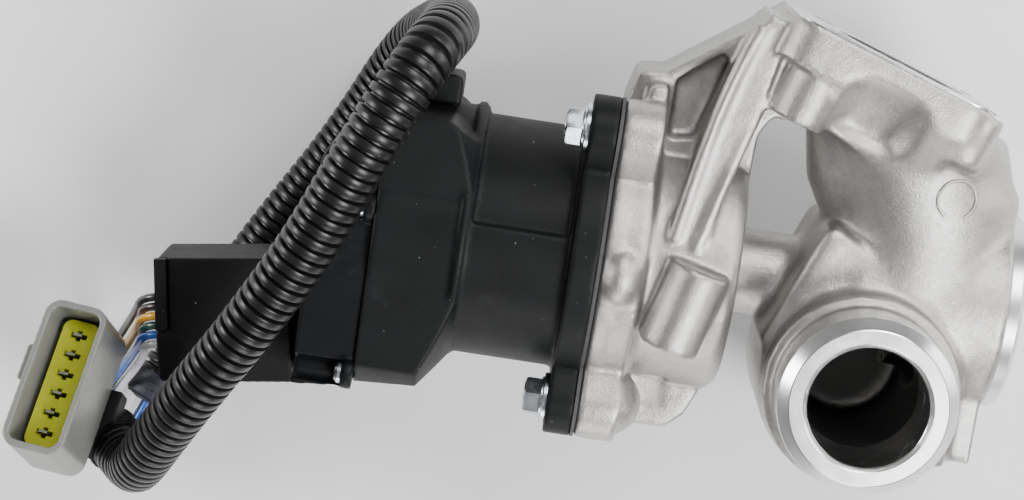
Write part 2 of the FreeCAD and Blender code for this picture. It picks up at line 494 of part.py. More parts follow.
def motor_parts():
    """Housing, stator, rotor, bearings and the screw shaft that the rotor drives."""
    front, back = "-gasket_thick", "-gasket_thick - flange_thick"
    can = turned("can", [(back, "0"), (back, "can_radius"), ("-can_length", "can_radius"), ("-can_length", "0")])
    flange = turned("motor_flange", [(front, "0"), (front, "flange_radius"), (back, "flange_radius"), (back, "0")])
    block = padded("rear_block", [("-can_length", "-block_bottom + 1.6"), ("-can_length + 6.5", "-can_radius + 1"),
                                  ("-can_length + 6.5", "can_radius - 6"), ("-can_length", "block_top"),
                                  ("-block_end", "block_top"), ("-block_end", "-block_bottom")],
                   "-block_half", "block_half", rounded=(3,), radius="1")
    trimmed = common("block_trim", block, held("block_round", turned("block_turn", [
        ("-block_end - 1", "0"), ("-block_end - 1", "can_radius + 12"), ("-can_length", "can_radius + 12"),
        ("-can_length + 7", "can_radius"), ("-can_length + 7", "0")])))
    clip_foot = box("clip_foot", "clip_wide - 3", "can_radius - block_top + 6", "clip_deep - 4",
                    "-clip_x - clip_wide / 2 + 1.5", "block_top - 4", "-clip_deep / 2 + 2")
    rims = [turned("rib_ring", [("-can_length + 5", "0"), ("-can_length + 5", "can_radius + 0.9"),
                                ("-can_length + 6.6", "can_radius + 0.9"), ("-can_length + 6.6", "0")])]
    pilot = ring("pilot_ring", "bowl_bore", "pilot_radius - pilot_gap", "-3", "pilot_depth - 0.5")
    barrel = cylinder("can_in_block", "can_radius", "block_end - can_length + 2", "-block_end")
    solid = fuse("housing_solid", can, flange, trimmed, barrel, clip_foot, pilot, *rims,
                 *lug_ring("housing", back, front))
    window = cut("window_cut", ring("window_ring", "can_radius - window_depth", "can_radius + 4",
                                    "-can_length + 7.5", f"{back} - 0.8"),
                 box("window_low", "60", "120", "120", "-60", "window_low - 120", "-60"),
                 box("window_back", "60", "60", "60", "-60", "0", "-72"))
    inner = turned("housing_inner", [("1", "0"), ("1", "nose_radius"), ("-4 + 0.2", "nose_radius"),
                                     ("-4 + 0.2", "bearing_radius"), ("-front_wall", "bearing_radius"),
                                     ("-front_wall", "can_bore"), ("-block_end - 1", "can_bore"),
                                     ("-block_end - 1", "0")])
    node("motor_housing", cut("housing_cut", solid, window, inner, *bolt_holes("housing", "-14", "2")))

    node("front_bearing", ring("front_bearing_ring", "journal_radius + journal_gap", "bearing_radius", "-front_wall",
                               "-front_wall + bearing_wide - 0.1"))
    node("rear_bearing", ring("rear_bearing_ring", "journal_radius + journal_gap", "bearing_radius", "journal_start + 0.2",
                              "journal_start + bearing_wide"))
    node("end_plate", turned("end_plate_turn", [("journal_start - 1.5", "nose_radius"),
                                                ("journal_start - 1.5", "can_bore"),
                                                ("journal_start + end_plate_thick", "can_bore"),
                                                ("journal_start + end_plate_thick", "bearing_radius"),
                                                ("journal_start", "bearing_radius"),
                                                ("journal_start", "nose_radius")]))
    node("rotor_hub", turned("hub", [("journal_start + 0.4", "hub_bore"), ("journal_start + 0.4", "journal_radius"),
                                     ("journal_start + 5.4", "journal_radius"), ("rotor_start", "journal_radius + 1"),
                                     ("rotor_start", "hub_radius"), ("rotor_end", "hub_radius"),
                                     ("rotor_end", "journal_radius + 1"), ("-front_wall - 0.4", "journal_radius + 1"),
                                     ("-front_wall - 0.4", "journal_radius"), ("journal_end", "journal_radius"),
                                     ("journal_end", "hub_bore")]))
    node("rotor_magnet", ring("magnet", "hub_radius", "magnet_radius", "rotor_start + 0.5", "rotor_end - 0.5"))
    node("motor_shaft", turned("screw_shaft", [("shaft_start", "0"), ("shaft_start", "shaft_radius"),
                                               ("shaft_end - 1.5", "shaft_radius"),
                                               ("shaft_end", "shaft_radius - 1.5"), ("shaft_end", "0")]))
    yoke = ring("yoke", "can_bore - yoke_thick", "can_bore - close_gap", "stator_start", "stator_end")
    teeth, coils = [], []
    for number in range(TEETH):
        angle = 360 / TEETH * number
        tooth = box(f"tooth_{number}", "stator_end - stator_start - 8", "tooth_wide", "can_bore - stator_bore - 1",
                    "stator_start + 4", "-tooth_wide / 2", "stator_bore")
        wind = box(f"wind_{number}", "stator_end - stator_start - 2", "tooth_wide + 2 * coil_wall",
                   "can_bore - stator_bore - yoke_thick - 2.4", "stator_start + 1", "-tooth_wide / 2 - coil_wall",
                   "stator_bore + 1.2")
        hole = box(f"wind_hole_{number}", "stator_end - stator_start - 7.8", "tooth_wide + 0.2", "40",
                   "stator_start + 3.9", "-tooth_wide / 2 - 0.1", "0")
        coil = cut(f"coil_{number}", wind, hole)
        for item, store in ((tooth, teeth), (coil, coils)):
            turnable = held(f"{item.Name}_turned", item)
            turnable.Placement.Rotation = Rotation(Vector(1, 0, 0), angle)
            store.append(turnable)
    node("stator_core", fuse("core", yoke, *teeth))
    node("stator_coils", fuse("coils", *coils))


def cover_parts():
    """Rear cover with the socket, its terminals and screws, and the position sensor behind the motor."""
    start, end = "-block_end", "-cover_end"
    shell = padded("cover_shell", [(start, "-cover_bottom + 1.4"), (start, "cover_top"), (end, "cover_top"),
                                   (end, "-cover_bottom")], "-cover_half", "cover_half", rounded=(2,),
                   radius="cover_round")
    hollow = padded("cover_hollow", [(f"{start} + 1", "-cover_bottom + 1.4 + cover_wall"),
                                     (f"{start} + 1", "cover_top - cover_wall"),
                                     (f"{end} + cover_wall", "cover_top - cover_wall - 3"),
                                     (f"{end} + cover_wall", "-cover_bottom + cover_wall + 24")],
                    "-cover_half + cover_wall", "cover_half - cover_wall")
    ears = []
    holes = []
    for number, (side, height) in enumerate(COVER_SCREWS):
        z = f"({side}) * (cover_half - 0.5)"
        ears.append(cylinder(f"ear_{number}", "cover_head + 1", "ear_thick", f"{start} - ear_thick", height, z))
        holes.append(cylinder(f"ear_hole_{number}", "cover_screw + close_gap", "ear_thick + 4",
                              f"{start} - ear_thick - 2", height, z))
        holes.append(cylinder(f"ear_clear_{number}", "cover_head + fit_gap", "cover_end",
                              f"{start} - ear_thick - cover_end", height, z))
    recess = box("socket_recess", "nose_length + 0.6", "nose_height + 2 * close_gap", "nose_deep + 2 * close_gap",
                 "-0.3", "-nose_height / 2 - close_gap", "-nose_deep / 2 - close_gap")
    recess_place = held("recess_place", recess)
    recess_place.Placement = plug_frame()
    passes = held("passes", *(box(f"pass_{k}", "nose_length + 5", "2 * terminal_half + fit_gap",
                                  "2 * terminal_half + fit_gap", "0",
                                  f"({k - (WAYS - 1) / 2}) * way_pitch - terminal_half - fit_gap / 2",
                                  "-terminal_half - fit_gap / 2") for k in range(WAYS)))
    passes.Placement = plug_frame()
    node("rear_cover", cut("cover_cut", fuse("cover_all", shell, *ears), hollow, recess_place, passes, *holes))

    screws = []
    for number, (side, height) in enumerate(COVER_SCREWS):
        z = f"({side}) * (cover_half - 0.5)"
        head = cylinder(f"cover_head_{number}", "cover_head", "head_thick", f"{start} - ear_thick - head_thick",
                        height, z)
        shank = cylinder(f"cover_shank_{number}", "cover_screw", "ear_thick", f"{start} - ear_thick", height, z)
        screws += [head, shank]
    node("cover_screws", fuse("cover_screw_set", *screws))

    node("position_sensor", cut("sensor_cut", box("sensor_block", "sensor_front + cover_end - cover_wall",
                                                  "2 * sensor_half", "2 * sensor_half",
                                                  "-cover_end + cover_wall", "-sensor_half", "-sensor_half"),
                                cylinder("sensor_bore", "plunger_radius + 0.1", "30",
                                         "-cover_end + cover_wall + 1")))
    node("sensor_plunger", turned("plunger", [("shaft_start - fit_gap - plunger_length", "0"),
                                              ("shaft_start - fit_gap - plunger_length", "plunger_radius"),
                                              ("shaft_start - fit_gap", "plunger_radius"),
                                              ("shaft_start - fit_gap", "0")]))


def plug_frame():
    """Return the place of the plug's mating face, its own x pointing into the socket."""
    return Placement(Vector(-size("plug_x"), -size("plug_y"), 0), Rotation(Vector(0, 0, 1), size("plug_turn")))


def harness_parts():
    """Plug, wires, conduit and its clip, and the free connector."""
    body = padded("plug_block", [("-plug_length", "-plug_height / 2"), ("-close_gap", "-plug_height / 2"),
                                 ("-close_gap", "plug_height / 2"), ("-plug_length", "plug_height / 2")],
                  "-plug_deep / 2", "plug_deep / 2", rounded=(0, 3), radius="1.5")
    nose = box("plug_nose", "nose_length + 2", "nose_height", "nose_deep", "-2", "-nose_height / 2",
               "-nose_deep / 2")
    bevel = padded("plug_bevel_cut", [("-plug_height / 2 - 1", "plug_deep / 2 - plug_bevel"),
                                      ("-plug_height / 2 + 11", "plug_deep / 2 + 0.01"),
                                      ("-plug_height / 2 + 11", "plug_deep / 2 + 4"),
                                      ("-plug_height / 2 - 1", "plug_deep / 2 + 4")], "-plug_length - 2", "3",
                   "YZ_Plane")
    ways = [box(f"way_{k}", "nose_length + 3", "2", "2", "-1", f"({k - 2.5}) * way_pitch - 1", "-1")
            for k in range(WAYS)]
    step = box("retainer_step", "3.2", "17.4", "2", "-plug_length - 0.1", "plug_height / 2 - 17.3",
               "plug_deep / 2 - 1.2")
    node("plug_housing", cut("plug_cut", fuse("plug_all", body, nose), bevel, step, *ways), plug_frame())
    strip = box("retainer_strip", "2.8", "17", "2.2", "-plug_length + 0.1", "plug_height / 2 - 17.1",
                "plug_deep / 2 - 1.1")
    node("plug_retainer", held("retainer", strip), plug_frame())
    terminals = [box(f"terminal_{k}", "nose_length + 4", "2 * terminal_half", "2 * terminal_half", "0.5",
                     f"({k - 2.5}) * way_pitch - terminal_half", "-terminal_half") for k in range(WAYS)]
    node("socket_terminals", fuse("terminal_set", *terminals), plug_frame())

    saddle = padded("clip_saddle", [("-clip_x - clip_wide / 2", "can_radius + fit_gap"),
                                    ("-clip_x - clip_wide / 2", "clip_top"),
                                    ("-clip_x + clip_wide / 2", "clip_top"),
                                    ("-clip_x + clip_wide / 2", "can_radius + fit_gap")],
                    "-clip_deep / 2", "clip_deep / 2", rounded=(1, 2), radius="1.5")
    node("harness_clip", cut("clip_cut", saddle, box("clip_slot", "clip_wide - 2.4", "2.6", "clip_deep - 3.4",
                                                     "-clip_x - clip_wide / 2 + 1.2", "can_radius - 0.3",
                                                     "-clip_deep / 2 + 1.7")))


def unit(vector):
    """Return a vector's direction."""
    return vector / vector.Length


def smooth_path(name, points):
    """Join the runs of a cord's route by tangent arcs as wide as the runs allow."""
    edges, radii, start = [], [], points[0]
    for before, corner, after in zip(points, points[1:], points[2:]):
        back, ahead = unit(before - corner), unit(after - corner)
        reach = ARC_SHARE * min((before - corner).Length, (after - corner).Length)
        half_turn = (math.pi - back.getAngle(ahead)) / 2
        radius = reach / math.tan(half_turn)
        middle = corner + unit(back + ahead) * radius * (1 / math.cos(half_turn) - 1)
        first, last = corner + back * reach, corner + ahead * reach
        edges += [Part.LineSegment(start, first).toShape(), Part.Arc(first, middle, last).toShape()]
        radii.append(round(radius, 1))
        start = last
    edges.append(Part.LineSegment(start, points[-1]).toShape())
    path = Part.Wire(edges)
    print(f"{name} length {path.Length:.1f} radii {radii}")
    return path


def cord(name, points, radius, sides=0):
    """Sweep a cord's section along its route: a circle, or a polygon when sides are given."""
    path = smooth_path(name, points)
    along = unit(points[1] - points[0])
    if sides:
        across = unit(along.cross(Vector(0, 0, 1)))
        corners = [points[0] + Rotation(along, 360 / sides * side).multVec(across) * radius for side in range(sides)]
        section = Part.makePolygon(corners + corners[:1])
    else:
        section = Part.Wire(Part.makeCircle(radius, points[0], along))
    solid = path.makePipeShell([section], True, False)
    area = Part.Face(section).Area
    print(f"{name} volume {solid.Volume:.0f} against {area * path.Length:.0f} mm3")
    return feature(name, solid)


def wire_routes():
    """Lead the wires out of the plug in a row and close them to a bundle at the conduit's mouth."""
    frame = plug_frame()
    outward, across = frame.Rotation.multVec(Vector(-1, 0, 0)), frame.Rotation.multVec(Vector(0, 1, 0))
    start = frame.multVec(Vector(-size("plug_length"), -size("wire_drop"), 0))
    mouth, inner = Vector(*CONDUIT[0]), Vector(*CONDUIT[1])
    entry = mouth - unit(inner - mouth) * size("bundle_entry")
    middle = [start, start + outward * size("wire_exit"), *(Vector(*spot) for spot, _, _ in WIRE_BUNDLE), entry, mouth]
    closing = [0, 0, *(share for _, share, _ in WIRE_BUNDLE), 1, 1]
    stagger = [0, 0, *(share for _, _, share in WIRE_BUNDLE), 1, 1]
    last = len(middle) - 1
    routes = [[] for _ in WIRES]
    for step, point in enumerate(middle):
        if step < 2:
            heading = outward
        elif step > last - 2:
            heading = unit(mouth - entry)
        else:
            heading = unit(unit(point - middle[step - 1]) + unit(middle[step + 1] - point))
        across = unit(across - heading * across.dot(heading))
        upward = across.cross(heading)
        for number, route in enumerate(routes):
            row = ((WAYS - 1) / 2 - number) * size("wire_pitch")
            bundle = (1 - number // 2) * size("bundle_pitch")
            level = size("bundle_step") * (1 if number % 2 == 0 else -1)
            place = row + (bundle - row) * closing[step]
            route.append(point + across * place + upward * level * stagger[step])
    return routes


def cord_parts():
    """Wires, corrugated conduit and the tape at its mouth."""
    for word, route in zip(WIRES, wire_routes()):
        node(f"wire_{word}", cord(f"{word}_lead", route, size("wire_radius"), WIRE_SIDES))
    route = [Vector(*spot) for spot in CONDUIT]
    node("conduit", cord("conduit_tube", route, size("conduit_radius")))
    along = unit(route[1] - route[0])
    sleeve = Part.makeCylinder(size("tape_radius"), size("tape_length"), route[0], along)
    hollow = Part.makeCylinder(size("conduit_radius"), size("tape_length"), route[0], along)
    node("tape_wrap", feature("tape", sleeve.cut(hollow)))


def shell_frame():
    """Return the place of the free connector's mouth, its own z pointing out of the mouth."""
    turn = Rotation(size("shell_yaw"), size("shell_pitch"), size("shell_roll"))
    return Placement(Vector(size("shell_x"), size("shell_y"), size("shell_z")), turn)


def rounded_block(name, margin, low, high):
    """Pad the free connector's rounded outline, made smaller by a margin, between two levels."""
    wide, long = f"shell_wide / 2 - ({margin})", f"shell_long / 2 - ({margin})"
    return padded(name, [(f"-({wide})", f"-({long})"), (wide, f"-({long})"), (wide, long), (f"-({wide})", long)],
                  low, high, rounded=(0, 1, 2, 3), radius=f"shell_round - ({margin})")


def connector_parts():
    """Free connector: shell, pin carrier with its slots, terminals and the collar that takes the conduit."""
    frame = shell_frame()
    floor = "-insert_drop - insert_deep"
    latch = box("latch", "2.4", "9", "11", "-shell_wide / 2 - 2.2", "-2", "-14")
    shell = cut("shell_cut", fuse("shell_all", rounded_block("shell_block", "0", "-shell_deep", "0"), latch),
                rounded_block("shell_pocket", "shell_wall", floor, "2"))
    node("connector_shell", shell, frame)
    carrier = rounded_block("carrier", "shell_wall + fit_gap", floor, "-insert_drop")
    slots, pins = [], []
    for number in range(WAYS):
        middle = f"({number - (WAYS - 1) / 2}) * slot_pitch"
        slots.append(box(f"slot_{number}", "slot_long", "slot_wide", "slot_deep + 1", "-slot_long / 2",
                         f"{middle} - slot_wide / 2", "-insert_drop - slot_deep"))
        slots.append(box(f"cross_{number}", "slot_wide", "slot_wide * 2", "slot_deep + 1", "-slot_wide / 2",
                         f"{middle} - slot_wide", "-insert_drop - slot_deep"))
        pins.append(box(f"pin_{number}", "pin_long", "pin_thick", "pin_rise", "-pin_long / 2",
                        f"{middle} - pin_thick / 2", "-insert_drop - slot_deep"))
    node("connector_insert", cut("carrier_cut", carrier, *slots), frame)
    node("connector_pins", fuse("pin_set", *pins), frame)
    end, before = Vector(*CONDUIT[-1]), Vector(*CONDUIT[-2])
    along = frame.inverse().Rotation.multVec(unit(end - before))
    place = frame.inverse().multVec(end)
    collar = Part.makeCylinder(size("collar_wide"), size("collar_length"), place, along)
    rear = Part.makeBox(16, 17, size("bracket_thick"), Vector(-5.5, -12, -size("shell_deep") - size("bracket_thick")))
    body = collar.fuse(rear).cut(Part.makeBox(60, 60, 60, Vector(-30, -30, -size("shell_deep"))))
    behind = Placement(place, Rotation(Vector(0, 0, 1), along))
    room = Part.makeBox(60, 60, 30, Vector(-30, -30, -30))
    room.Placement = behind
    node("connector_collar", feature("collar", body.cut(room).removeSplitter()), frame)


def flange_screws():
    """Hex screws and washers that hold the motor to the casting."""
    screws, washers = [], []
    seat = "-gasket_thick - flange_thick"
    for number in range(BOLTS):
        y, z = bolt_place(number)
        washer = cylinder(f"washer_disc_{number}", "washer_radius", "washer_thick", f"{seat} - washer_thick", y, z)
        hole = cylinder(f"washer_bore_{number}", "screw_hole", "washer_thick + 2", f"{seat} - washer_thick - 1", y, z)
        washers.append(cut(f"washer_{number}", washer, hole))
        head = doc.addObject("Part::Prism", f"screw_head_{number}")
        head.Polygon = 6
        head.Placement.Rotation = LAY["X"]
        bind(head, Circumradius="head_across / 2 / cos(30)", Height="head_height")
        locate(head, f"{seat} - washer_thick - head_height", y, z)
        screws.append(head)
        screws.append(cylinder(f"screw_shank_{number}", "screw_radius", "washer_thick + screw_reach - 0.5",
                               f"{seat} - washer_thick", y, z))
    node("flange_screws", fuse("screw_set", *screws))
    node("screw_washers", fuse("washer_set", *washers))


casting()
valve_parts()
motor_parts()
cover_parts()
flange_screws()
harness_parts()
cord_parts()
connector_parts()
doc.recompute()

faults = [item.Name for item in doc.Objects if {"Invalid", "Error"} & set(item.State)]
faults += [item.Label for item in nodes if item.Shape.isNull() or not item.Shape.isValid()]
if faults:
    raise RuntimeError(f"failed objects: {faults}")
os.makedirs("parts", exist_ok=True)
for item in nodes:
    item.Shape.exportStep(f"parts/{item.Label}.step")
    box_ = item.Shape.BoundBox
    print(f"{item.Label:18s} solids {len(item.Shape.Solids):2d} volume {item.Shape.Volume / 1000:8.2f} cm3  "
          f"x {box_.XMin:7.1f} {box_.XMax:7.1f}  y {box_.YMin:7.1f} {box_.YMax:7.1f}  "
          f"z {box_.ZMin:7.1f} {box_.ZMax:7.1f}")
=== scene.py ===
"""Looks of an exhaust gas recirculation valve with its harness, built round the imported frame.

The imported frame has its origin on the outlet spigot's axis at the collar's shoulder and is in metres. The
drawing frame used for sizes here is the valve's own: millimetres, x along the valve axis from the motor
joint, y up to the engine flange and z out of the spigot. Drawing.place() leads from the second to the first.
"""
from __future__ import annotations

import json
import logging
import math
from dataclasses import dataclass, field
from enum import Enum
from itertools import product
from typing import Any, Callable, Iterable, Sequence, Union

import bmesh
import bpy
import numpy as np
from mathutils import Matrix, Vector

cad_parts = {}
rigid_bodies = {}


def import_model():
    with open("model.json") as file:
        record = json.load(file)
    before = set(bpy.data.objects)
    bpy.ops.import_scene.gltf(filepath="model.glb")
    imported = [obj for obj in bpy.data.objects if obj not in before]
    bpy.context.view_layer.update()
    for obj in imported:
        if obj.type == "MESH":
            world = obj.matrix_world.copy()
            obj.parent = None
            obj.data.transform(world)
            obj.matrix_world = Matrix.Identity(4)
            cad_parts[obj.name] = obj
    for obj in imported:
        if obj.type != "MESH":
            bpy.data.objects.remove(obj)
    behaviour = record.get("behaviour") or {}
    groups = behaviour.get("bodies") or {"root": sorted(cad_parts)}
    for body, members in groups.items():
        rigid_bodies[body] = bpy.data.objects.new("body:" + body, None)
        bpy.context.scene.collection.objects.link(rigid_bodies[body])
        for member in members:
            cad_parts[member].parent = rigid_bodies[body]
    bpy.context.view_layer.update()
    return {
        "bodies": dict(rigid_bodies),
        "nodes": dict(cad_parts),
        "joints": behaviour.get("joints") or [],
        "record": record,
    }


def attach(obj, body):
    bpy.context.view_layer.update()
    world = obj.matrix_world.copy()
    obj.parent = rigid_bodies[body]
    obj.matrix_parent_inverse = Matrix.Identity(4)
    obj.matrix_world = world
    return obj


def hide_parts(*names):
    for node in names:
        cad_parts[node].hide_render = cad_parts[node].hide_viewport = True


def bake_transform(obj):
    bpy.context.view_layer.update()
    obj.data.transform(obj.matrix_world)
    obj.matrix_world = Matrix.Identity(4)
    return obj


log = logging.getLogger("egr_valve")

Colour = tuple[float, float, float]
Point = tuple[float, float, float]
Corner = tuple[float, float]
MM = 0.001
FULL_TURN = 2 * math.pi
TO_THE_REAR = Vector((-1, 0, 0))


@dataclass(frozen=True)
class Drawing:
    """The valve's own drawing frame, with the sizes that several pieces share, in millimetres."""

    spigot_x: float = 63.0
    spigot_y: float = -19.0
    collar_top: float = 30.5
    flange_back: float = -7.2
    bolt_circle: float = 37.8
    bolt_angle: float = 35.5
    bolts: int = 3
    floor: float = -45.7

    def place(self, x: float, y: float, z: float) -> Vector:
        """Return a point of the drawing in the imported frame, in metres.

        Args:
            x, y, z: The point in the drawing frame, in millimetres.

        Returns:
            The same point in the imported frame.
        """
        return Vector((x - self.spigot_x, y - self.spigot_y, z - self.collar_top)) * MM

    def matrix(self, x: float, y: float, z: float, axis: Vector) -> Matrix:
        """Return the place of a piece drawn about its own z axis.

        Args:
            x, y, z: Where the piece's own origin lies, in millimetres.
            axis: The direction of the piece's own z axis.

        Returns:
            A matrix from the piece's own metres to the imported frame.
        """
        turn = Vector((0, 0, 1)).rotation_difference(axis)
        return Matrix.Translation(self.place(x, y, z)) @ turn.to_matrix().to_4x4()

    def bolt_spots(self) -> list[tuple[float, float]]:
        """Return the y and z of the flange screws."""
        angles = [math.radians(self.bolt_angle + 360 / self.bolts * k) for k in range(self.bolts)]
        return [(self.bolt_circle * math.cos(a), self.bolt_circle * math.sin(a)) for a in angles]


DRAWING = Drawing()


class Axis(Enum):
    """An axis of the drawing frame."""

    ALONG_VALVE = (1.0, 0.0, 0.0)
    OUT_OF_SPIGOT = (0.0, 0.0, 1.0)


class Signal:
    """A shader socket that takes part in Python expressions."""

    def __init__(self, graph: Graph, socket: bpy.types.NodeSocket) -> None:
        """Hold a socket of a graph."""
        self.graph = graph
        self.socket = socket

    def _join(self, operation: str, first: Value, second: Value) -> Signal:
        """Add the node that joins two values.

        Args:
            operation: The operation's name, the same for Math, Vector Math and Mix nodes.
            first, second: The two values, one of them this signal.

        Returns:
            The joined signal, of the same kind as this one.
        """
        if self.socket.type == "VECTOR":
            return self.graph.node("VectorMath", {"operation": operation}, {0: first, 1: second})
        if self.socket.type == "RGBA":
            settings = {"data_type": "RGBA", "blend_type": operation}
            return self.graph.node("Mix", settings, {0: 1.0, 6: first, 7: second}, output=2)
        return self.graph.node("Math", {"operation": operation}, {0: first, 1: second})

    def __add__(self, other: Value) -> Signal:
        """Add a value."""
        return self._join("ADD", self, other)

    def __radd__(self, other: Value) -> Signal:
        """Add this to a value."""
        return self._join("ADD", other, self)

    def __sub__(self, other: Value) -> Signal:
        """Take a value away."""
        return self._join("SUBTRACT", self, other)

    def __rsub__(self, other: Value) -> Signal:
        """Take this away from a value."""
        return self._join("SUBTRACT", other, self)

    def __mul__(self, other: Value) -> Signal:
        """Multiply by a value."""
        return self._join("MULTIPLY", self, other)

    def __rmul__(self, other: Value) -> Signal:
        """Multiply a value by this."""
        return self._join("MULTIPLY", other, self)

    def sine(self) -> Signal:
        """Return the sine of this value."""
        return self.graph.node("Math", {"operation": "SINE"}, {0: self})

    def root(self) -> Signal:
        """Return the square root of this value."""
        return self.graph.node("Math", {"operation": "SQRT"}, {0: self})

    def over(self, low: float, high: float) -> Signal:
        """Return how far this value has gone from a low to a high level, from 0 to 1."""
        return self.graph.node("MapRange", {}, {"Value": self, "From Min": low, "From Max": high})


Value = Union[Signal, float, Sequence[float]]


class Graph:
    """The node graph of one material."""

    def __init__(self, name: str) -> None:
        """Start an empty graph in a new material.

        Args:
            name: The material's name.
        """
        self.material = bpy.data.materials.new(name)
        self.material.use_nodes = True
        self.tree = self.material.node_tree
        self.tree.nodes.clear()

    def node(self, kind: str, settings: dict[str, Any], values: dict[Union[int, str], Value],
             output: Union[int, str] = 0) -> Signal:
        """Add a node.

        Args:
            kind: The node's type without its ShaderNode prefix.
            settings: Properties that are set first.
            values: A number, colour, vector or signal for each named or numbered input.
            output: The output that the result stands for.

        Returns:
            The chosen output.
        """
        made = self.tree.nodes.new("ShaderNode" + kind)
        for key, setting in settings.items():
            setattr(made, key, setting)
        for key, value in values.items():
            if isinstance(value, Signal):
                self.tree.links.new(value.socket, made.inputs[key])
            else:
                made.inputs[key].default_value = value
        return Signal(self, made.outputs[output])

    def place(self) -> Signal:
        """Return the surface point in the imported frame, in millimetres."""
        spot = self.node("TexCoord", {}, {}, "Object")
        return spot * (1000.0, 1000.0, 1000.0)

    def noise(self, place: Signal, grain: float, detail: float = 2.0, rough: float = 0.5) -> Signal:
        """Return even noise about 0.5 whose lumps are so many millimetres wide."""
        return self.node("TexNoise", {}, {"Vector": place, "Scale": 1 / grain, "Detail": detail,
                                          "Roughness": rough})

    def parts(self, vector: Signal) -> tuple[Signal, Signal, Signal]:
        """Split a vector into its three numbers."""
        node = self.node("SeparateXYZ", {}, {0: vector}).socket.node
        return tuple(Signal(self, node.outputs[k]) for k in range(3))

    def blend(self, share: Value, first: Value, second: Value) -> Signal:
        """Mix two colours by a share."""
        return self.node("Mix", {"data_type": "RGBA"}, {0: share, 6: first, 7: second}, output=2)

    def surface(self, values: dict[str, Value]) -> bpy.types.Material:
        """Close the graph with its shader.

        Args:
            values: What each socket of the shader gets.

        Returns:
            The finished material.
        """
        shader = self.node("BsdfPrincipled", {}, values)
        end = self.tree.nodes.new("ShaderNodeOutputMaterial")
        self.tree.links.new(shader.socket, end.inputs["Surface"])
        return self.material


def rgba(colour: Colour, factor: float = 1.0) -> tuple[float, float, float, float]:
    """Return a colour, made lighter or darker, with full alpha."""
    return (*(min(1.0, part * factor) for part in colour), 1.0)


@dataclass(frozen=True)
class Finish:
    """A surface finish whose colour, gloss and grain vary a little, sizes in millimetres."""

    name: str
    colour: Colour
    roughness: float = 0.5
    metallic: float = 0.0
    mottle: float = 0.10
    mottle_size: float = 4.0
    grain: float = 0.25
    grain_size: float = 0.5
    grain_depth: float = 0.05
    coat: float = 0.0
    specular: float = 0.5

    def relief(self, graph: Graph, place: Signal) -> Signal:
        """Return the surface's fine height, about 0 to 1."""
        return graph.noise(place, self.grain_size, 3.0, 0.6)

    def tint(self, graph: Graph, place: Signal) -> Signal:
        """Return the surface's colour."""
        share = graph.noise(place, self.mottle_size, 4.0, 0.6).over(0.3, 0.7)
        return graph.blend(share, rgba(self.colour, 1 - self.mottle), rgba(self.colour, 1 + self.mottle))

    def gloss(self, graph: Graph, place: Signal) -> Signal:
        """Return the surface's roughness."""
        return graph.noise(place, self.mottle_size * 0.6, 3.0) * 0.16 + (self.roughness - 0.08)

    def build(self) -> bpy.types.Material:
        """Make the material.

        Returns:
            The material with its whole graph.
        """
        graph = Graph(self.name)
        place = graph.place()
        bump = graph.node("Bump", {}, {"Height": self.relief(graph, place), "Strength": self.grain,
                                       "Distance": self.grain_depth * MM})
        return graph.surface({"Base Color": self.tint(graph, place), "Roughness": self.gloss(graph, place),
                              "Metallic": self.metallic, "Normal": bump, "Coat Weight": self.coat,
                              "Specular IOR Level": self.specular})


@dataclass(frozen=True)
class BlastedCasting(Finish):
    """Die-cast metal with a blasted skin: bright pinholes in a soft grey mottle."""

    stain: float = 0.16
    stain_size: float = 22.0
    fleck: float = 0.45
    fleck_light: float = 1.3
    bore_radius: float = 13.6
    bore_edge: float = 0.6
    bore_darkening: float = 0.22
    bore_darkening_start: float = 2.0
    bore_darkening_end: float = -6.0

    def tint(self, graph: Graph, place: Signal) -> Signal:
        """Return the mottled colour with slow stains and bright flecks, darker the deeper it lies in the
        outlet bore.

        Args:
            graph: The material's graph.
            place: The surface point, in millimetres.

        Returns:
            The colour.
        """
        base = super().tint(graph, place)
        stain = graph.noise(place, self.stain_size, 3.0).over(0.42, 0.75)
        stained = graph.blend(stain, base, rgba(self.colour, 1 - self.stain))
        fleck = graph.noise(place, self.grain_size * 1.6, 1.0).over(0.60, 0.74)
        flecked = graph.blend(fleck * self.fleck, stained, rgba(self.colour, self.fleck_light))
        x, y, z = graph.parts(place)
        # Darker the deeper the surface lies inside the outlet bore.
        inside = 1.0 - (x * x + y * y).root().over(self.bore_radius, self.bore_radius + self.bore_edge)
        depth = z.over(self.bore_darkening_start, self.bore_darkening_end)
        return graph.blend(inside * depth, flecked, rgba(self.colour, self.bore_darkening))

    def relief(self, graph: Graph, place: Signal) -> Signal:
        """Return blasting grain over slower waves of the mould's skin.

        Args:
            graph: The material's graph.
            place: The surface point, in millimetres.

        Returns:
            The height.
        """
        fine = graph.noise(place, self.grain_size, 3.0, 0.7)
        slow = graph.noise(place, self.grain_size * 9, 2.0)
        return fine + slow * 1.2


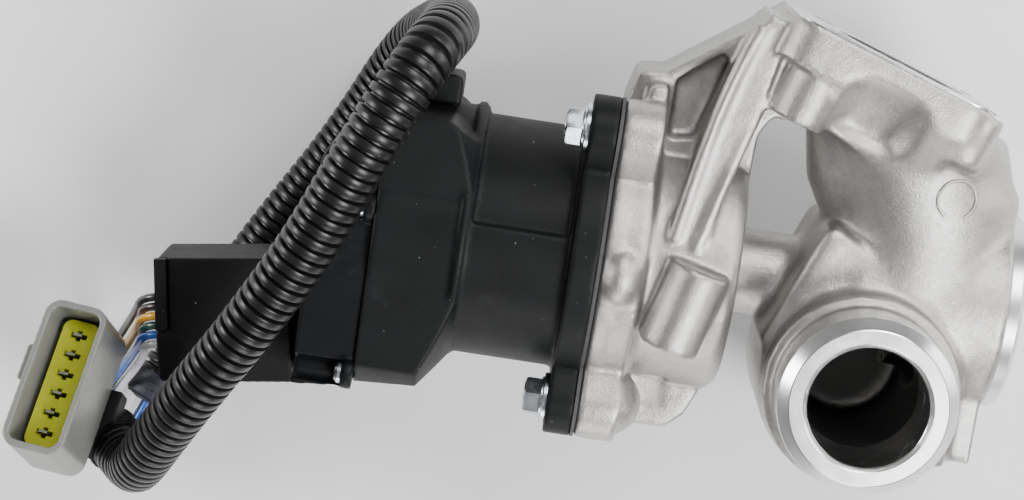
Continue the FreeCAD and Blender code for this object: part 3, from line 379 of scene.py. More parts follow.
@dataclass(frozen=True)
class TurnedMetal(Finish):
    """Metal with the fine rings that a lathe leaves about an axis."""

    axis: Axis = Axis.OUT_OF_SPIGOT
    pitch: float = 0.32
    even: float = 0.35
    uneven: float = 0.65

    def rings(self, graph: Graph, place: Signal) -> Signal:
        """Return the uneven rings.

        Args:
            graph: The material's graph.
            place: The surface point, in millimetres.

        Returns:
            The height, from 0 to 1.
        """
        x, y, z = graph.parts(place)
        if self.axis is Axis.ALONG_VALVE:
            across, along, travel = y + DRAWING.spigot_y, z + DRAWING.collar_top, x
        else:
            across, along, travel = x, y, z
        spot = (across * across + along * along).root() + travel
        wander = graph.noise(graph.node("CombineXYZ", {}, {0: spot * 4.0}), 1.0, 2.0)
        return ((spot * (FULL_TURN / self.pitch)).sine() * 0.5 + 0.5) * self.even + wander * self.uneven

    def relief(self, graph: Graph, place: Signal) -> Signal:
        """Return the lathe's rings."""
        return self.rings(graph, place)

    def gloss(self, graph: Graph, place: Signal) -> Signal:
        """Return a roughness that follows the rings and light smears."""
        smear = graph.noise(place, self.mottle_size, 3.0)
        return self.rings(graph, place) * 0.10 + smear * 0.12 + (self.roughness - 0.11)


@dataclass(frozen=True)
class DustyMoulding(Finish):
    """Dark moulded plastic with sparse light dust and faint scuffs."""

    dust: float = 0.5
    dust_size: float = 0.9
    dust_colour: Colour = (0.42, 0.42, 0.41)
    scuff: float = 0.12
    scuff_size: float = 14.0
    scuff_colour: Colour = (0.10, 0.105, 0.11)

    def tint(self, graph: Graph, place: Signal) -> Signal:
        """Return the dark colour with dust specks and pale scuffs.

        Args:
            graph: The material's graph.
            place: The surface point, in millimetres.

        Returns:
            The colour.
        """
        base = super().tint(graph, place)
        specks = graph.noise(place, self.dust_size, 1.0).over(0.80, 0.84)
        scuff = graph.noise(place, self.scuff_size, 5.0, 0.7).over(0.60, 0.85)
        pale = graph.blend(scuff * self.scuff, base, rgba(self.scuff_colour))
        return graph.blend(specks * self.dust, pale, rgba(self.dust_colour))


@dataclass(frozen=True)
class WoundFinish(Finish):
    """Parallel turns or plies, seen as lines across the valve axis."""

    pitch: float = 0.6

    def relief(self, graph: Graph, place: Signal) -> Signal:
        """Return the turns as round ridges along x."""
        x, _, _ = graph.parts(place)
        return (x * (FULL_TURN / self.pitch)).sine() * 0.5 + 0.5


class Finishes:
    """Every finish of the object, each built once."""

    casting = BlastedCasting("blasted_casting", (0.45, 0.436, 0.422), roughness=0.38, metallic=0.94,
                             mottle=0.12, mottle_size=2.2, grain=0.7, grain_size=0.45, grain_depth=0.16)
    turned = TurnedMetal("turned_aluminium", (0.80, 0.80, 0.79), roughness=0.24, metallic=1.0,
                         mottle=0.04, mottle_size=6.0, grain=0.30, grain_size=0.3, grain_depth=0.02)
    cap = TurnedMetal("turned_cap", (0.72, 0.72, 0.71), roughness=0.30, metallic=1.0, mottle=0.05,
                      mottle_size=6.0, grain=0.3, grain_size=0.3, grain_depth=0.02, axis=Axis.ALONG_VALVE)
    milled = Finish("milled_face", (0.74, 0.74, 0.73), roughness=0.28, metallic=1.0, mottle=0.05,
                    mottle_size=5.0, grain=0.15, grain_size=0.3, grain_depth=0.02)
    moulding = DustyMoulding("black_moulding", (0.0050, 0.0055, 0.0060), roughness=0.50, metallic=0.0,
                             mottle=0.2, mottle_size=9.0, grain=0.35, grain_size=0.35, grain_depth=0.05,
                             specular=0.16)
    cover = DustyMoulding("cover_moulding", (0.0045, 0.0050, 0.0058), roughness=0.44, metallic=0.0,
                          mottle=0.2, mottle_size=9.0, grain=0.3, grain_size=0.35, grain_depth=0.04,
                          specular=0.16)
    plug = DustyMoulding("plug_moulding", (0.0058, 0.0058, 0.0068), roughness=0.48, metallic=0.0,
                         mottle=0.2, mottle_size=7.0, grain=0.35, grain_size=0.3, grain_depth=0.05,
                         specular=0.16)
    conduit = DustyMoulding("conduit_plastic", (0.0045, 0.0047, 0.0050), roughness=0.36, metallic=0.0,
                            mottle=0.2, mottle_size=6.0, grain=0.25, grain_size=0.4, grain_depth=0.04,
                            specular=0.4, dust=0.25)
    zinc = Finish("bright_zinc", (0.62, 0.66, 0.70), roughness=0.26, metallic=1.0, mottle=0.10,
                  mottle_size=2.0, grain=0.3, grain_size=0.25, grain_depth=0.02)
    stainless = TurnedMetal("turned_stainless", (0.56, 0.55, 0.53), roughness=0.26, metallic=1.0,
                            mottle=0.04, mottle_size=5.0, grain=0.3, grain_size=0.3, grain_depth=0.015,
                            axis=Axis.ALONG_VALVE)
    ground = Finish("ground_steel", (0.60, 0.60, 0.60), roughness=0.22, metallic=1.0, mottle=0.05,
                    mottle_size=4.0, grain=0.15, grain_size=0.2, grain_depth=0.01)
    spring = Finish("spring_wire", (0.42, 0.42, 0.43), roughness=0.30, metallic=1.0, mottle=0.08,
                    mottle_size=2.0, grain=0.2, grain_size=0.2, grain_depth=0.01)
    bronze = Finish("sintered_bronze", (0.52, 0.35, 0.16), roughness=0.48, metallic=1.0, mottle=0.12,
                    mottle_size=1.0, grain=0.4, grain_size=0.3, grain_depth=0.03)
    copper = WoundFinish("copper_winding", (0.58, 0.24, 0.09), roughness=0.34, metallic=0.9, mottle=0.10,
                         mottle_size=2.0, grain=0.8, grain_size=0.5, grain_depth=0.25, coat=0.4)
    core = WoundFinish("core_plies", (0.26, 0.26, 0.27), roughness=0.42, metallic=0.9, mottle=0.08,
                       mottle_size=2.0, grain=0.6, grain_size=0.5, grain_depth=0.12)
    magnet = Finish("sintered_magnet", (0.055, 0.055, 0.06), roughness=0.55, metallic=0.2, mottle=0.15,
                    mottle_size=1.5, grain=0.4, grain_size=0.3, grain_depth=0.04)
    nylon = Finish("white_nylon", (0.70, 0.69, 0.64), roughness=0.42, metallic=0.0, mottle=0.04,
                   mottle_size=4.0, grain=0.15, grain_size=0.4, grain_depth=0.03)
    rubber = Finish("seal_rubber", (0.02, 0.02, 0.02), roughness=0.6, metallic=0.0, mottle=0.15,
                    mottle_size=2.0, grain=0.3, grain_size=0.3, grain_depth=0.04)
    gasket = Finish("fibre_sheet", (0.05, 0.05, 0.052), roughness=0.7, metallic=0.0, mottle=0.2,
                    mottle_size=1.0, grain=0.6, grain_size=0.3, grain_depth=0.05)
    tape = Finish("wound_tape", (0.020, 0.022, 0.032), roughness=0.50, metallic=0.0, mottle=0.25,
                  mottle_size=1.5, grain=0.8, grain_size=0.35, grain_depth=0.12)
    shell = Finish("grey_shell", (0.185, 0.186, 0.174), roughness=0.36, metallic=0.0, mottle=0.07,
                   mottle_size=5.0, grain=0.25, grain_size=0.4, grain_depth=0.03, coat=0.15)
    carrier = Finish("yellow_carrier", (0.40, 0.43, 0.012), roughness=0.40, metallic=0.0, mottle=0.07,
                     mottle_size=3.0, grain=0.25, grain_size=0.4, grain_depth=0.03)
    pins = Finish("plated_pins", (0.80, 0.78, 0.70), roughness=0.22, metallic=1.0, mottle=0.08,
                  mottle_size=1.0, grain=0.1, grain_size=0.2, grain_depth=0.01)
    wires = {word: Finish(f"{word}_lead", colour, roughness=0.30, grain=0.1, coat=0.3) for word, colour in (
        ("black", (0.010, 0.010, 0.011)), ("brown", (0.030, 0.012, 0.010)), ("yellow", (0.80, 0.38, 0.008)),
        ("green", (0.006, 0.075, 0.050)), ("blue", (0.004, 0.10, 0.50)), ("white", (0.62, 0.62, 0.63)))}

    _made: dict[str, bpy.types.Material] = {}

    @classmethod
    def dress(cls, piece: bpy.types.Object, finish: Finish) -> None:
        """Give a piece one finish all over.

        Args:
            piece: A mesh object.
            finish: What its surface gets.
        """
        if finish.name not in cls._made:
            cls._made[finish.name] = finish.build()
        if not piece.material_slots:
            piece.data.materials.append(cls._made[finish.name])
        for slot in piece.material_slots:
            slot.link = "OBJECT"
            slot.material = cls._made[finish.name]


NODE_FINISHES: dict[str, Finish] = {
    "end_cap": Finishes.cap, "seat_ring": Finishes.stainless, "stem_bush": Finishes.bronze,
    "stem_seal": Finishes.rubber, "valve_stem": Finishes.stainless, "poppet": Finishes.stainless,
    "poppet_nut": Finishes.zinc, "spring_retainer": Finishes.stainless,
    "flange_gasket": Finishes.gasket, "front_bearing": Finishes.ground, "rear_bearing": Finishes.ground,
    "end_plate": Finishes.moulding, "rotor_hub": Finishes.nylon, "rotor_magnet": Finishes.magnet,
    "motor_shaft": Finishes.stainless, "stator_core": Finishes.core, "stator_coils": Finishes.copper,
    "position_sensor": Finishes.moulding, "sensor_plunger": Finishes.nylon, "plug_retainer": Finishes.plug,
    "socket_terminals": Finishes.pins, "connector_pins": Finishes.pins,
}


def fit(piece: bpy.types.Object, finish: Finish, node: str = "") -> bpy.types.Object:
    """Dress a piece, fix it to the root body and report it.

    Args:
        piece: A mesh object.
        finish: What its surface gets.
        node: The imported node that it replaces, where it replaces one.

    Returns:
        The same piece.
    """
    Finishes.dress(piece, finish)
    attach(piece, "root")
    if node:
        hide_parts(node)
    log.info("%s: %d faces", piece.name, len(piece.data.polygons))
    return piece


def placed(name: str, data: bpy.types.ID) -> bpy.types.Object:
    """Put a mesh, curve, light or camera into the scene.

    Args:
        name: The new object's name.
        data: What it holds.

    Returns:
        The new object.
    """
    piece = bpy.data.objects.new(name, data)
    bpy.context.scene.collection.objects.link(piece)
    return piece


def finished(name: str, work: bmesh.types.BMesh) -> bpy.types.Object:
    """Make an object of a mesh that was worked on.

    Args:
        name: The new object's name, which its mesh shares.
        work: The working mesh, which is used up.

    Returns:
        The new object.
    """
    mesh = bpy.data.meshes.new(name)
    work.to_mesh(mesh)
    work.free()
    return placed(name, mesh)


def modified(piece: bpy.types.Object) -> bpy.types.Mesh:
    """Return a new mesh of an object as its modifiers leave it."""
    graph = bpy.context.evaluated_depsgraph_get()
    return bpy.data.meshes.new_from_object(piece.evaluated_get(graph))


def polar(radius: float, angle: float, height: float) -> Vector:
    """Return a point about the z axis, given in millimetres, in metres."""
    return Vector((radius * math.cos(angle), radius * math.sin(angle), height)) * MM


def bridge(rings: int, sides: int) -> list[tuple[int, ...]]:
    """Join rings of points, one after the other.

    Args:
        rings: How many rings there are.
        sides: How many points each of them has.

    Returns:
        The faces between the rings.
    """
    faces = []
    for ring in range(rings - 1):
        here, there = ring * sides, (ring + 1) * sides
        for side in range(sides):
            ahead = (side + 1) % sides
            faces.append((here + side, here + ahead, there + ahead, there + side))
    return faces


def add_mesh(name: str, vertices: Iterable[Sequence[float]],
             faces: Iterable[Sequence[int]]) -> bpy.types.Object:
    """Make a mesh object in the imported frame.

    Args:
        name: The piece's name.
        vertices: Its points, in metres.
        faces: The corners of each face, by number.

    Returns:
        The new object.
    """
    mesh = bpy.data.meshes.new(name)
    mesh.from_pydata([tuple(v) for v in vertices], [], [tuple(f) for f in faces])
    work = bmesh.new()
    work.from_mesh(mesh)
    bmesh.ops.recalc_face_normals(work, faces=work.faces)
    work.to_mesh(mesh)
    work.free()
    return placed(name, mesh)


def shade(piece: bpy.types.Object, sharp_above: float = 35.0) -> bpy.types.Object:
    """Shade a piece smoothly apart from its sharp edges.

    Args:
        piece: A mesh object, changed in place.
        sharp_above: How far an edge turns before it stays sharp, in degrees.

    Returns:
        The same piece.
    """
    work = bmesh.new()
    work.from_mesh(piece.data)
    for face in work.faces:
        face.smooth = True
    limit = math.radians(sharp_above)
    for edge in work.edges:
        edge.smooth = len(edge.link_faces) == 2 and edge.calc_face_angle(0.0) < limit
    work.to_mesh(piece.data)
    work.free()
    return piece


def lathe(name: str, profile: Sequence[Corner], place: Matrix, sides: int = 96) -> bpy.types.Object:
    """Turn a closed profile about its own z axis.

    Args:
        name: The piece's name.
        profile: The (height, radius) corners in millimetres, all with a radius above 0.
        place: Where the turned piece lies.
        sides: How many faces go round.

    Returns:
        The new object.
    """
    vertices, faces, count = [], [], len(profile)
    for side in range(sides):
        angle = FULL_TURN * side / sides
        for height, radius in profile:
            vertices.append(place @ polar(radius, angle, height))
    for side in range(sides):
        ahead = (side + 1) % sides
        for k in range(count):
            after = (k + 1) % count
            faces.append((side * count + k, side * count + after, ahead * count + after, ahead * count + k))
    return shade(add_mesh(name, vertices, faces), 20.0)


def sweep(name: str, line: Sequence[Vector], radii: Sequence[float], sides: int) -> bpy.types.Object:
    """Lead a round section along a line.

    Args:
        name: The piece's name.
        line: Points in metres.
        radii: The section's radius at each point, in metres.
        sides: How many faces go round.

    Returns:
        The new object, closed at both ends.
    """
    heading = (line[1] - line[0]).normalized()
    across = heading.orthogonal().normalized()
    vertices = []
    for k, spot in enumerate(line):
        before, after = line[max(k - 1, 0)], line[min(k + 1, len(line) - 1)]
        heading = (after - before).normalized()
        across = (across - heading * across.dot(heading)).normalized()
        up = heading.cross(across)
        for side in range(sides):
            angle = FULL_TURN * side / sides
            vertices.append(spot + (across * math.cos(angle) + up * math.sin(angle)) * radii[k])
    faces = bridge(len(line), sides)
    faces.append(tuple(range(sides)))
    faces.append(tuple(reversed(range((len(line) - 1) * sides, len(line) * sides))))
    return add_mesh(name, vertices, faces)


def hull(name: str, points: Iterable[Point]) -> bpy.types.Object:
    """Make the convex block round a few points.

    Args:
        name: The piece's name.
        points: Its corners in the drawing, in millimetres.

    Returns:
        The new object.
    """
    work = bmesh.new()
    for spot in points:
        work.verts.new(DRAWING.place(*spot))
    made = bmesh.ops.convex_hull(work, input=work.verts)
    bmesh.ops.delete(work, geom=made["geom_interior"], context="VERTS")
    return finished(name, work)


def swell(name: str, centre: Point, radii: Point) -> bpy.types.Object:
    """Make an egg-shaped swelling.

    Args:
        name: The piece's name.
        centre: Its middle in the drawing, in millimetres.
        radii: Its half sizes along the drawing's axes, in millimetres.

    Returns:
        The new object.
    """
    work = bmesh.new()
    place = Matrix.Translation(DRAWING.place(*centre)) @ Matrix.Diagonal((*(r * MM for r in radii), 1.0))
    bmesh.ops.create_uvsphere(work, u_segments=32, v_segments=20, radius=1.0, matrix=place)
    return finished(name, work)


def pierced(name: str, loops: Sequence[Sequence[Corner]], low: float, high: float,
            place: Matrix) -> bpy.types.Object:
    """Make a plate with holes through it.

    Args:
        name: The piece's name.
        loops: The outline and then each hole, as (across, along) corners in millimetres.
        low, high: The plate's two levels, in millimetres.
        place: Where the plate lies.

    Returns:
        The new object.
    """
    work = bmesh.new()
    for loop in loops:
        corners = [work.verts.new((x, y, high)) for x, y in loop]
        for first, second in zip(corners, corners[1:] + corners[:1]):
            work.edges.new((first, second))
    bmesh.ops.triangle_fill(work, edges=work.edges[:], use_beauty=True)
    work.verts.index_update()
    count = len(work.verts)
    spots = [v.co.copy() for v in work.verts]
    lids = [[v.index for v in face.verts] for face in work.faces]
    work.free()
    faces = lids + [[k + count for k in reversed(lid)] for lid in lids]
    start = 0
    for loop in loops:
        for k in range(len(loop)):
            here, ahead = start + k, start + (k + 1) % len(loop)
            faces.append((here, ahead, ahead + count, here + count))
        start += len(loop)
    spots += [Vector((v.x, v.y, low)) for v in spots]
    return shade(add_mesh(name, [place @ (v * MM) for v in spots], faces), 30.0)


def round_rectangle(wide: float, long: float, corner: float, steps: int = 8) -> list[Corner]:
    """Lay out a rectangle with round corners about the origin.

    Args:
        wide, long: Its two sizes.
        corner: The radius of its corners.
        steps: How many stretches make up each round corner.

    Returns:
        Its corners in their order.
    """
    points = []
    for quarter, (sx, sy) in enumerate(((1, 1), (-1, 1), (-1, -1), (1, -1))):
        for step in range(steps + 1):
            angle = math.pi / 2 * (quarter + step / steps)
            points.append((sx * (wide / 2 - corner) + corner * math.cos(angle),
                           sy * (long / 2 - corner) + corner * math.sin(angle)))
    return points


def ellipse(x: float, y: float, wide: float, high: float, sides: int = 48) -> list[Corner]:
    """Return the corners of an ellipse by its middle and half sizes."""
    angles = [FULL_TURN * k / sides for k in range(sides)]
    return [(x + wide * math.cos(a), y + high * math.sin(a)) for a in angles]


def rise(values: np.ndarray, start: float, width: float) -> np.ndarray:
    """Return how far values have gone past a start, from 0 to 1 over a width."""
    return np.clip((values - start) / width, 0, 1)


def relax(mesh: bpy.types.Mesh, rounds: int, weight: np.ndarray) -> None:
    """Even out a dense mesh towards its neighbours, as a mould's rounded edges.

    Args:
        mesh: The mesh, changed in place.
        rounds: How many times each point moves.
        weight: How far each point moves each time, from 0 to 1.
    """
    count = len(mesh.vertices)
    spots = np.empty(count * 3)
    mesh.vertices.foreach_get("co", spots)
    spots = spots.reshape(-1, 3)
    edges = np.empty(len(mesh.edges) * 2, dtype=np.int64)
    mesh.edges.foreach_get("vertices", edges)
    first, second = edges[0::2], edges[1::2]
    number = np.bincount(edges, minlength=count)[:, None]
    for _ in range(rounds):
        total = np.empty_like(spots)
        for axis in range(3):
            total[:, axis] = (np.bincount(first, spots[second, axis], count)
                              + np.bincount(second, spots[first, axis], count))
        spots += (total / number - spots) * 0.5 * weight[:, None]
    mesh.vertices.foreach_set("co", spots.ravel())
    mesh.update()


@dataclass(frozen=True)
class Dent:
    """A shallow pocket in a casting's front, sizes in millimetres and degrees."""

    centre: Point
    wide: float
    high: float
    depth: float
    turn: float
    squareness: int = 4
    fullness: float = 0.5

    def press(self, mesh: bpy.types.Mesh) -> None:
        """Push the mesh in over the pocket.

        Args:
            mesh: The casting's even mesh.
        """
        spots = np.empty(len(mesh.vertices) * 3, dtype=np.float32)
        mesh.vertices.foreach_get("co", spots)
        spots = spots.reshape(-1, 3)
        x, y, z = (spots - np.array(DRAWING.place(*self.centre))).T / MM
        turn = math.radians(self.turn)
        across = np.abs(x * math.cos(turn) + y * math.sin(turn)) / self.wide
        along = np.abs(y * math.cos(turn) - x * math.sin(turn)) / self.high
        share = np.clip(1 - across ** self.squareness - along ** self.squareness, 0, 1)
        share *= np.abs(z) < 2 * self.depth
        spots[:, 2] -= self.depth * MM * share ** self.fullness
        mesh.vertices.foreach_set("co", spots.ravel())


@dataclass
class MouldedSkin:
    """A cast or moulded piece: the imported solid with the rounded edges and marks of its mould.

    Marks are joined to the solid before its mesh is evened out, and the cutter's space is taken out of it.
    """

    node: str
    finish: Finish
    slot: str
    voxel: float = 0.6
    rounds: int = 4
    soft_rounds: int = 0
    softness: Union[Callable[[np.ndarray], np.ndarray], None] = None
    marks: list[bpy.types.Object] = field(default_factory=list)
    cutter: Union[bpy.types.Object, None] = None
    dents: tuple[Dent, ...] = ()
    weld: float = 0.001

    def build(self, frame: dict[str, Any]) -> bpy.types.Object:
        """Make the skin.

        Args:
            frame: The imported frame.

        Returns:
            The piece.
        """
        node = frame["nodes"][self.node]
        piece = self._remeshed(node)
        spots = np.empty(len(piece.data.vertices) * 3)
        piece.data.vertices.foreach_get("co", spots)
        relax(piece.data, self.rounds, np.ones(len(piece.data.vertices)))
        if self.softness:
            relax(piece.data, self.soft_rounds, self.softness(spots.reshape(-1, 3) / MM))
        return fit(piece, self.finish, self.node)

    def _remeshed(self, node: bpy.types.Object) -> bpy.types.Object:
        """Lay a dense even mesh over the node and its marks.

        Args:
            node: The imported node.

        Returns:
            The new piece, with its dents pressed in.
        """
        rough = self._opened(node)
        work = bmesh.new()
        work.from_mesh(rough.data)
        for mark in self.marks:
            work.from_mesh(mark.data)
            bpy.data.objects.remove(mark)
        work.to_mesh(rough.data)
        work.free()
        remesh = rough.modifiers.new("even", "REMESH")
        remesh.mode = "VOXEL"
        remesh.voxel_size = self.voxel * MM
        remesh.use_smooth_shade = True
        dense = modified(rough)
        bpy.data.objects.remove(rough)
        for dent in self.dents:
            dent.press(dense)
        dense.materials.clear()
        return placed(self.node + "_skin", dense)

    def _opened(self, node: bpy.types.Object) -> bpy.types.Object:
        """Copy the node and take the cutter's space out of the copy.

        Args:
            node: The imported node, which stays as it is.

        Returns:
            The copy, with its points welded.
        """
        work = bmesh.new()
        work.from_mesh(node.data)
        bmesh.ops.remove_doubles(work, verts=work.verts, dist=self.weld * MM)
        copy = finished(self.node + "_copy", work)
        if self.cutter:
            opening = copy.modifiers.new("opening", "BOOLEAN")
            opening.operation = "DIFFERENCE"
            opening.solver = "EXACT"
            opening.object = self.cutter
            opened = modified(copy)
            copy.modifiers.clear()
            copy.data = opened
            bpy.data.objects.remove(self.cutter)
        return copy


@dataclass
class ValveCasting:
    """The die-cast body: its blasted skin, and the faces that were turned or milled afterwards.

    Sizes are in millimetres and degrees, and points are the drawing's. The port and the screw holes are
    given in the plane of the flange's face, and the ramp and the web at the face as on_face() takes them.
    """

    spigot_radius: float = 20.2
    spigot_face: float = 17.8
    spigot_chamfer: float = 2.4
    spigot_height: float = 14.5
    bore: float = 13.7
    bore_depth: float = 9.0
    proud: float = 0.07
    face: Point = (58.0, 56.2, 8.5)
    face_tilt: float = 18.3
    face_inset: float = 0.3
    face_thick: float = 0.3
    plate_long: float = 50.5
    plate_wide: float = 50.0
    plate_corner: float = 7.0
    port: tuple[float, float, float, float] = (3.9, 0.0, 16.4, 12.5)
    port_tilt: float = 22.0
    port_radius: float = 12.45
    port_shift: float = 0.4
    port_reach: tuple[float, float] = (-16.0, 20.0)
    screw_holes: tuple[Corner, ...] = ((-14.0, 17.5), (-14.0, -17.5), (23.0, -17.5), (23.0, 17.5))
    screw_radius: float = 3.3
    mark: Point = (77.2, 27.6, 40.0)
    mark_radius: float = 4.5
    mark_wire: float = 0.42
    mark_lift: float = 0.1
    mark_start: float = -60.0
    mark_sweep: float = 300.0
    mark_steps: int = 48
    outer_rib: tuple[Point, ...] = (
        (27.6, 60.0, 27.2), (24.9, 54.6, 27.6), (18.9, 32.7, 27.6), (15.4, 9.0, 27.2))
    outer_rib_radius: float = 1.7
    inner_rib: tuple[Point, ...] = (
        (30.6, 44.5, 26.2), (26.6, 31.0, 27.0), (22.2, 14.0, 27.4), (20.6, 7.5, 27.6))
    inner_rib_radius: float = 1.5
    side_knob: tuple[Point, Point] = ((4.8, -0.8, 27.6), (5.6, 7.6, 7.0))
    lug_dome: tuple[Point, Point] = ((7.6, -33.0, 15.6), (7.2, 7.6, 7.6))
    scoop: Dent = Dent((55.6, 43.4, 29.5), wide=8.6, high=6.8, depth=4.6, turn=-18.0)
    shoulder: tuple[tuple[Point, float], ...] = (
        ((51.0, 42.0, 9.0), 9.5), ((56.0, 31.0, 8.0), 12.5), ((59.5, 24.5, 6.0), 12.5),
        ((62.5, 18.0, 5.0), 11.0))
    ramp: tuple[Point, ...] = (
        (-10, -6, 33.2), (19, -5, 33.2), (-10, -9, 32.6), (19, -9, 33.2), (-9, -20, 27.0), (9, -22, 26.6),
        (20, -25, 24.6), (-9, -8, 18), (20, -8, 16), (-8, -19, 14), (8, -22, 14), (20, -25, 16))
    web_at_face: tuple[Point, ...] = (
        (24.6, -1.5, 29), (24.6, -9, 30), (24.6, -1.5, -10), (24.6, -9, -12))
    web_at_neck: tuple[Point, ...] = (
        (91.0, 35.0, 9.0), (91.0, 35.0, -3.0), (94.6, 27.0, 7.0), (94.6, 27.0, -1.0), (80.0, 30.0, 20.0),
        (80.0, 30.0, -10.0))
    lug_root: tuple[Corner, ...] = ((29.5, 44.0), (38.5, 44.0), (33.0, 58.0), (42.0, 58.0))
    lug_root_levels: tuple[float, float] = (12.0, 26.0)
    skirt_front: tuple[Corner, Corner, Corner] = ((10.4, 20.6), (-34.6, -25.4), (5.0, 9.7))
    arm_top: float = 24.0
    passage_start: float = 44.0
    low_passage_start: float = 36.0
    collar_foot: float = 24.0
    collar_reach: float = 25.0
    flange_depth: float = 7.0
    cap_start: float = 90.0

    def build(self, frame: dict[str, Any]) -> None:
        """Make the skin and the machined faces.

        Args:
            frame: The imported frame.
        """
        marks = [self._rib("outer_rib", self.outer_rib, self.outer_rib_radius),
                 self._rib("inner_rib", self.inner_rib, self.inner_rib_radius),
                 swell("side_knob", *self.side_knob), swell("lug_dome", *self.lug_dome), self._shoulder(),
                 *self._webs()]
        skin = MouldedSkin("valve_body", Finishes.casting, "cast_aluminium", voxel=0.65, rounds=5,
                           soft_rounds=34, softness=self._softness, marks=marks, cutter=self._port_core(),
                           dents=(self.scoop,)).build(frame)
        self._spigot_ring()
        self._milled_face()
        self._ejector_mark(skin)

    def on_face(self, along: float, out: float, z: float) -> Point:
        """Return a drawing point from the engine flange's own frame.

        Args:
            along: The distance along the flange from its middle, in millimetres.
            out: The distance out of its face.
            z: The drawing's own height.

        Returns:
            The point in the drawing, in millimetres.
        """
        tilt = math.radians(self.face_tilt)
        return (self.face[0] + along * math.cos(tilt) + out * math.sin(tilt),
                self.face[1] - along * math.sin(tilt) + out * math.cos(tilt), z)

    def _webs(self) -> list[bpy.types.Object]:
        """Make the webs that lead the flange into the neck, and the skirt's closed front.

        Returns:
            The blocks that are joined to the casting.
        """
        ramp = [self.on_face(*spot) for spot in self.ramp]
        web = [*(self.on_face(*spot) for spot in self.web_at_face), *self.web_at_neck]
        root = [(x, y, z) for x, y in self.lug_root for z in self.lug_root_levels]
        return [hull("flange_ramp", ramp), hull("flange_side", web), hull("lug_root", root),
                hull("skirt_front", product(*self.skirt_front))]

    def _shoulder(self) -> bpy.types.Object:
        """Return the swelling on the neck's inner side."""
        line = [DRAWING.place(*spot) for spot, _ in self.shoulder]
        return sweep("neck_shoulder", line, [radius * MM for _, radius in self.shoulder], 40)

    def _port_core(self) -> bpy.types.Object:
        """Make the core of the engine port.

        Returns:
            A rod from outside the flange into the slanting passage.
        """
        tilt = math.radians(self.port_tilt)
        inward = Vector((math.sin(tilt), -math.cos(tilt), 0))
        mouth = Vector(self.on_face(self.port[0] - self.port_shift, 0, self.face[2]))
        ends = [DRAWING.place(*(mouth + inward * reach)) for reach in self.port_reach]
        return sweep("port_core", ends, [self.port_radius * MM] * len(ends), 64)

    def _ejector_mark(self, skin: bpy.types.Object) -> None:
        """Lay the ring that an ejector pin left on the neck's skin.

        Args:
            skin: The casting's skin.
        """
        surface = skin.evaluated_get(bpy.context.evaluated_depsgraph_get())
        line = []
        for step in range(self.mark_steps + 1):
            angle = math.radians(self.mark_start + self.mark_sweep * step / self.mark_steps)
            x = self.mark[0] + self.mark_radius * math.cos(angle)
            y = self.mark[1] + self.mark_radius * math.sin(angle)
            hit, spot, normal, _ = surface.ray_cast(DRAWING.place(x, y, self.mark[2]), (0, 0, -1))
            if hit:
                line.append(spot + normal * self.mark_lift * MM)
        ring = shade(sweep("ejector_ring", line, [self.mark_wire * MM] * len(line), 10), 60.0)
        fit(ring, Finishes.casting)

    def _rib(self, name: str, points: Sequence[Point], radius: float) -> bpy.types.Object:
        """Return a round rib through a few points, in millimetres."""
        line = read_line(name, [DRAWING.place(*spot) for spot in points])
        return sweep(name, line, [radius * MM] * len(line), 16)

    def _softness(self, spots: np.ndarray) -> np.ndarray:
        """Return how soft the casting's fillets are at each point.

        Args:
            spots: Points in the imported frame, in millimetres.

        Returns:
            A weight from 0 at machined faces to 1 on the gas passages.
        """
        x, y, z = (spots + np.array([DRAWING.spigot_x, DRAWING.spigot_y, DRAWING.collar_top])).T
        low = rise(-y, -self.arm_top, 3.0)
        gas = rise(x, self.passage_start, 6.0) * (1 - low) + rise(x, self.low_passage_start, 3.0) * low
        radius = np.hypot(x - DRAWING.spigot_x, y - DRAWING.spigot_y)
        spigot = rise(z, self.collar_foot, 3.0) * rise(-radius, -self.collar_reach, 2.0)
        tilt = math.radians(self.face_tilt)
        out = (x - self.face[0]) * math.sin(tilt) + (y - self.face[1]) * math.cos(tilt)
        flange = rise(out, -self.flange_depth, 4.0)
        cap = rise(x, self.cap_start, 2.0) * low
        return gas * (1 - spigot) * (1 - flange) * (1 - cap)

    def _spigot_ring(self) -> None:
        """Make the turned outlet ring round the bore."""
        out, inn = self.spigot_radius + self.proud, self.bore - self.proud
        top = self.spigot_height + self.proud
        shoulder = top - self.spigot_chamfer
        profile = [(0.1, out - 0.2), (0.5, out), (shoulder - 0.15, out), (shoulder + 0.1, out - 0.12),
                   (top - 0.12, self.spigot_face + 0.12), (top, self.spigot_face - 0.15), (top, inn + 1.0),
                   (top - 0.15, inn + 0.75), (top - 0.9, inn + 0.05), (top - 1.2, inn),
                   (-self.bore_depth, inn), (-self.bore_depth, inn + 1.2), (0.1, inn + 1.2)]
        fit(lathe("spigot_ring", profile, Matrix.Identity(4), 160), Finishes.turned)

    def _milled_face(self) -> None:
        """Make the milled skin of the engine flange with its port and screw holes."""
        tilt = math.radians(self.face_tilt)
        along = Vector((math.cos(tilt), -math.sin(tilt), 0))
        out = Vector((math.sin(tilt), math.cos(tilt), 0))
        turn = Matrix((along, out.cross(along), out)).transposed().to_4x4()
        place = Matrix.Translation(DRAWING.place(*self.face)) @ turn
        inset = self.face_inset
        loops = [round_rectangle(self.plate_long - 2 * inset, self.plate_wide - 2 * inset,
                                 self.plate_corner - inset), ellipse(*self.port, 72)]
        loops += [ellipse(x, y, self.screw_radius, self.screw_radius, 32) for x, y in self.screw_holes]
        piece = pierced("engine_face_skin", loops, -self.face_thick, self.proud, place)
        fit(piece, Finishes.milled)


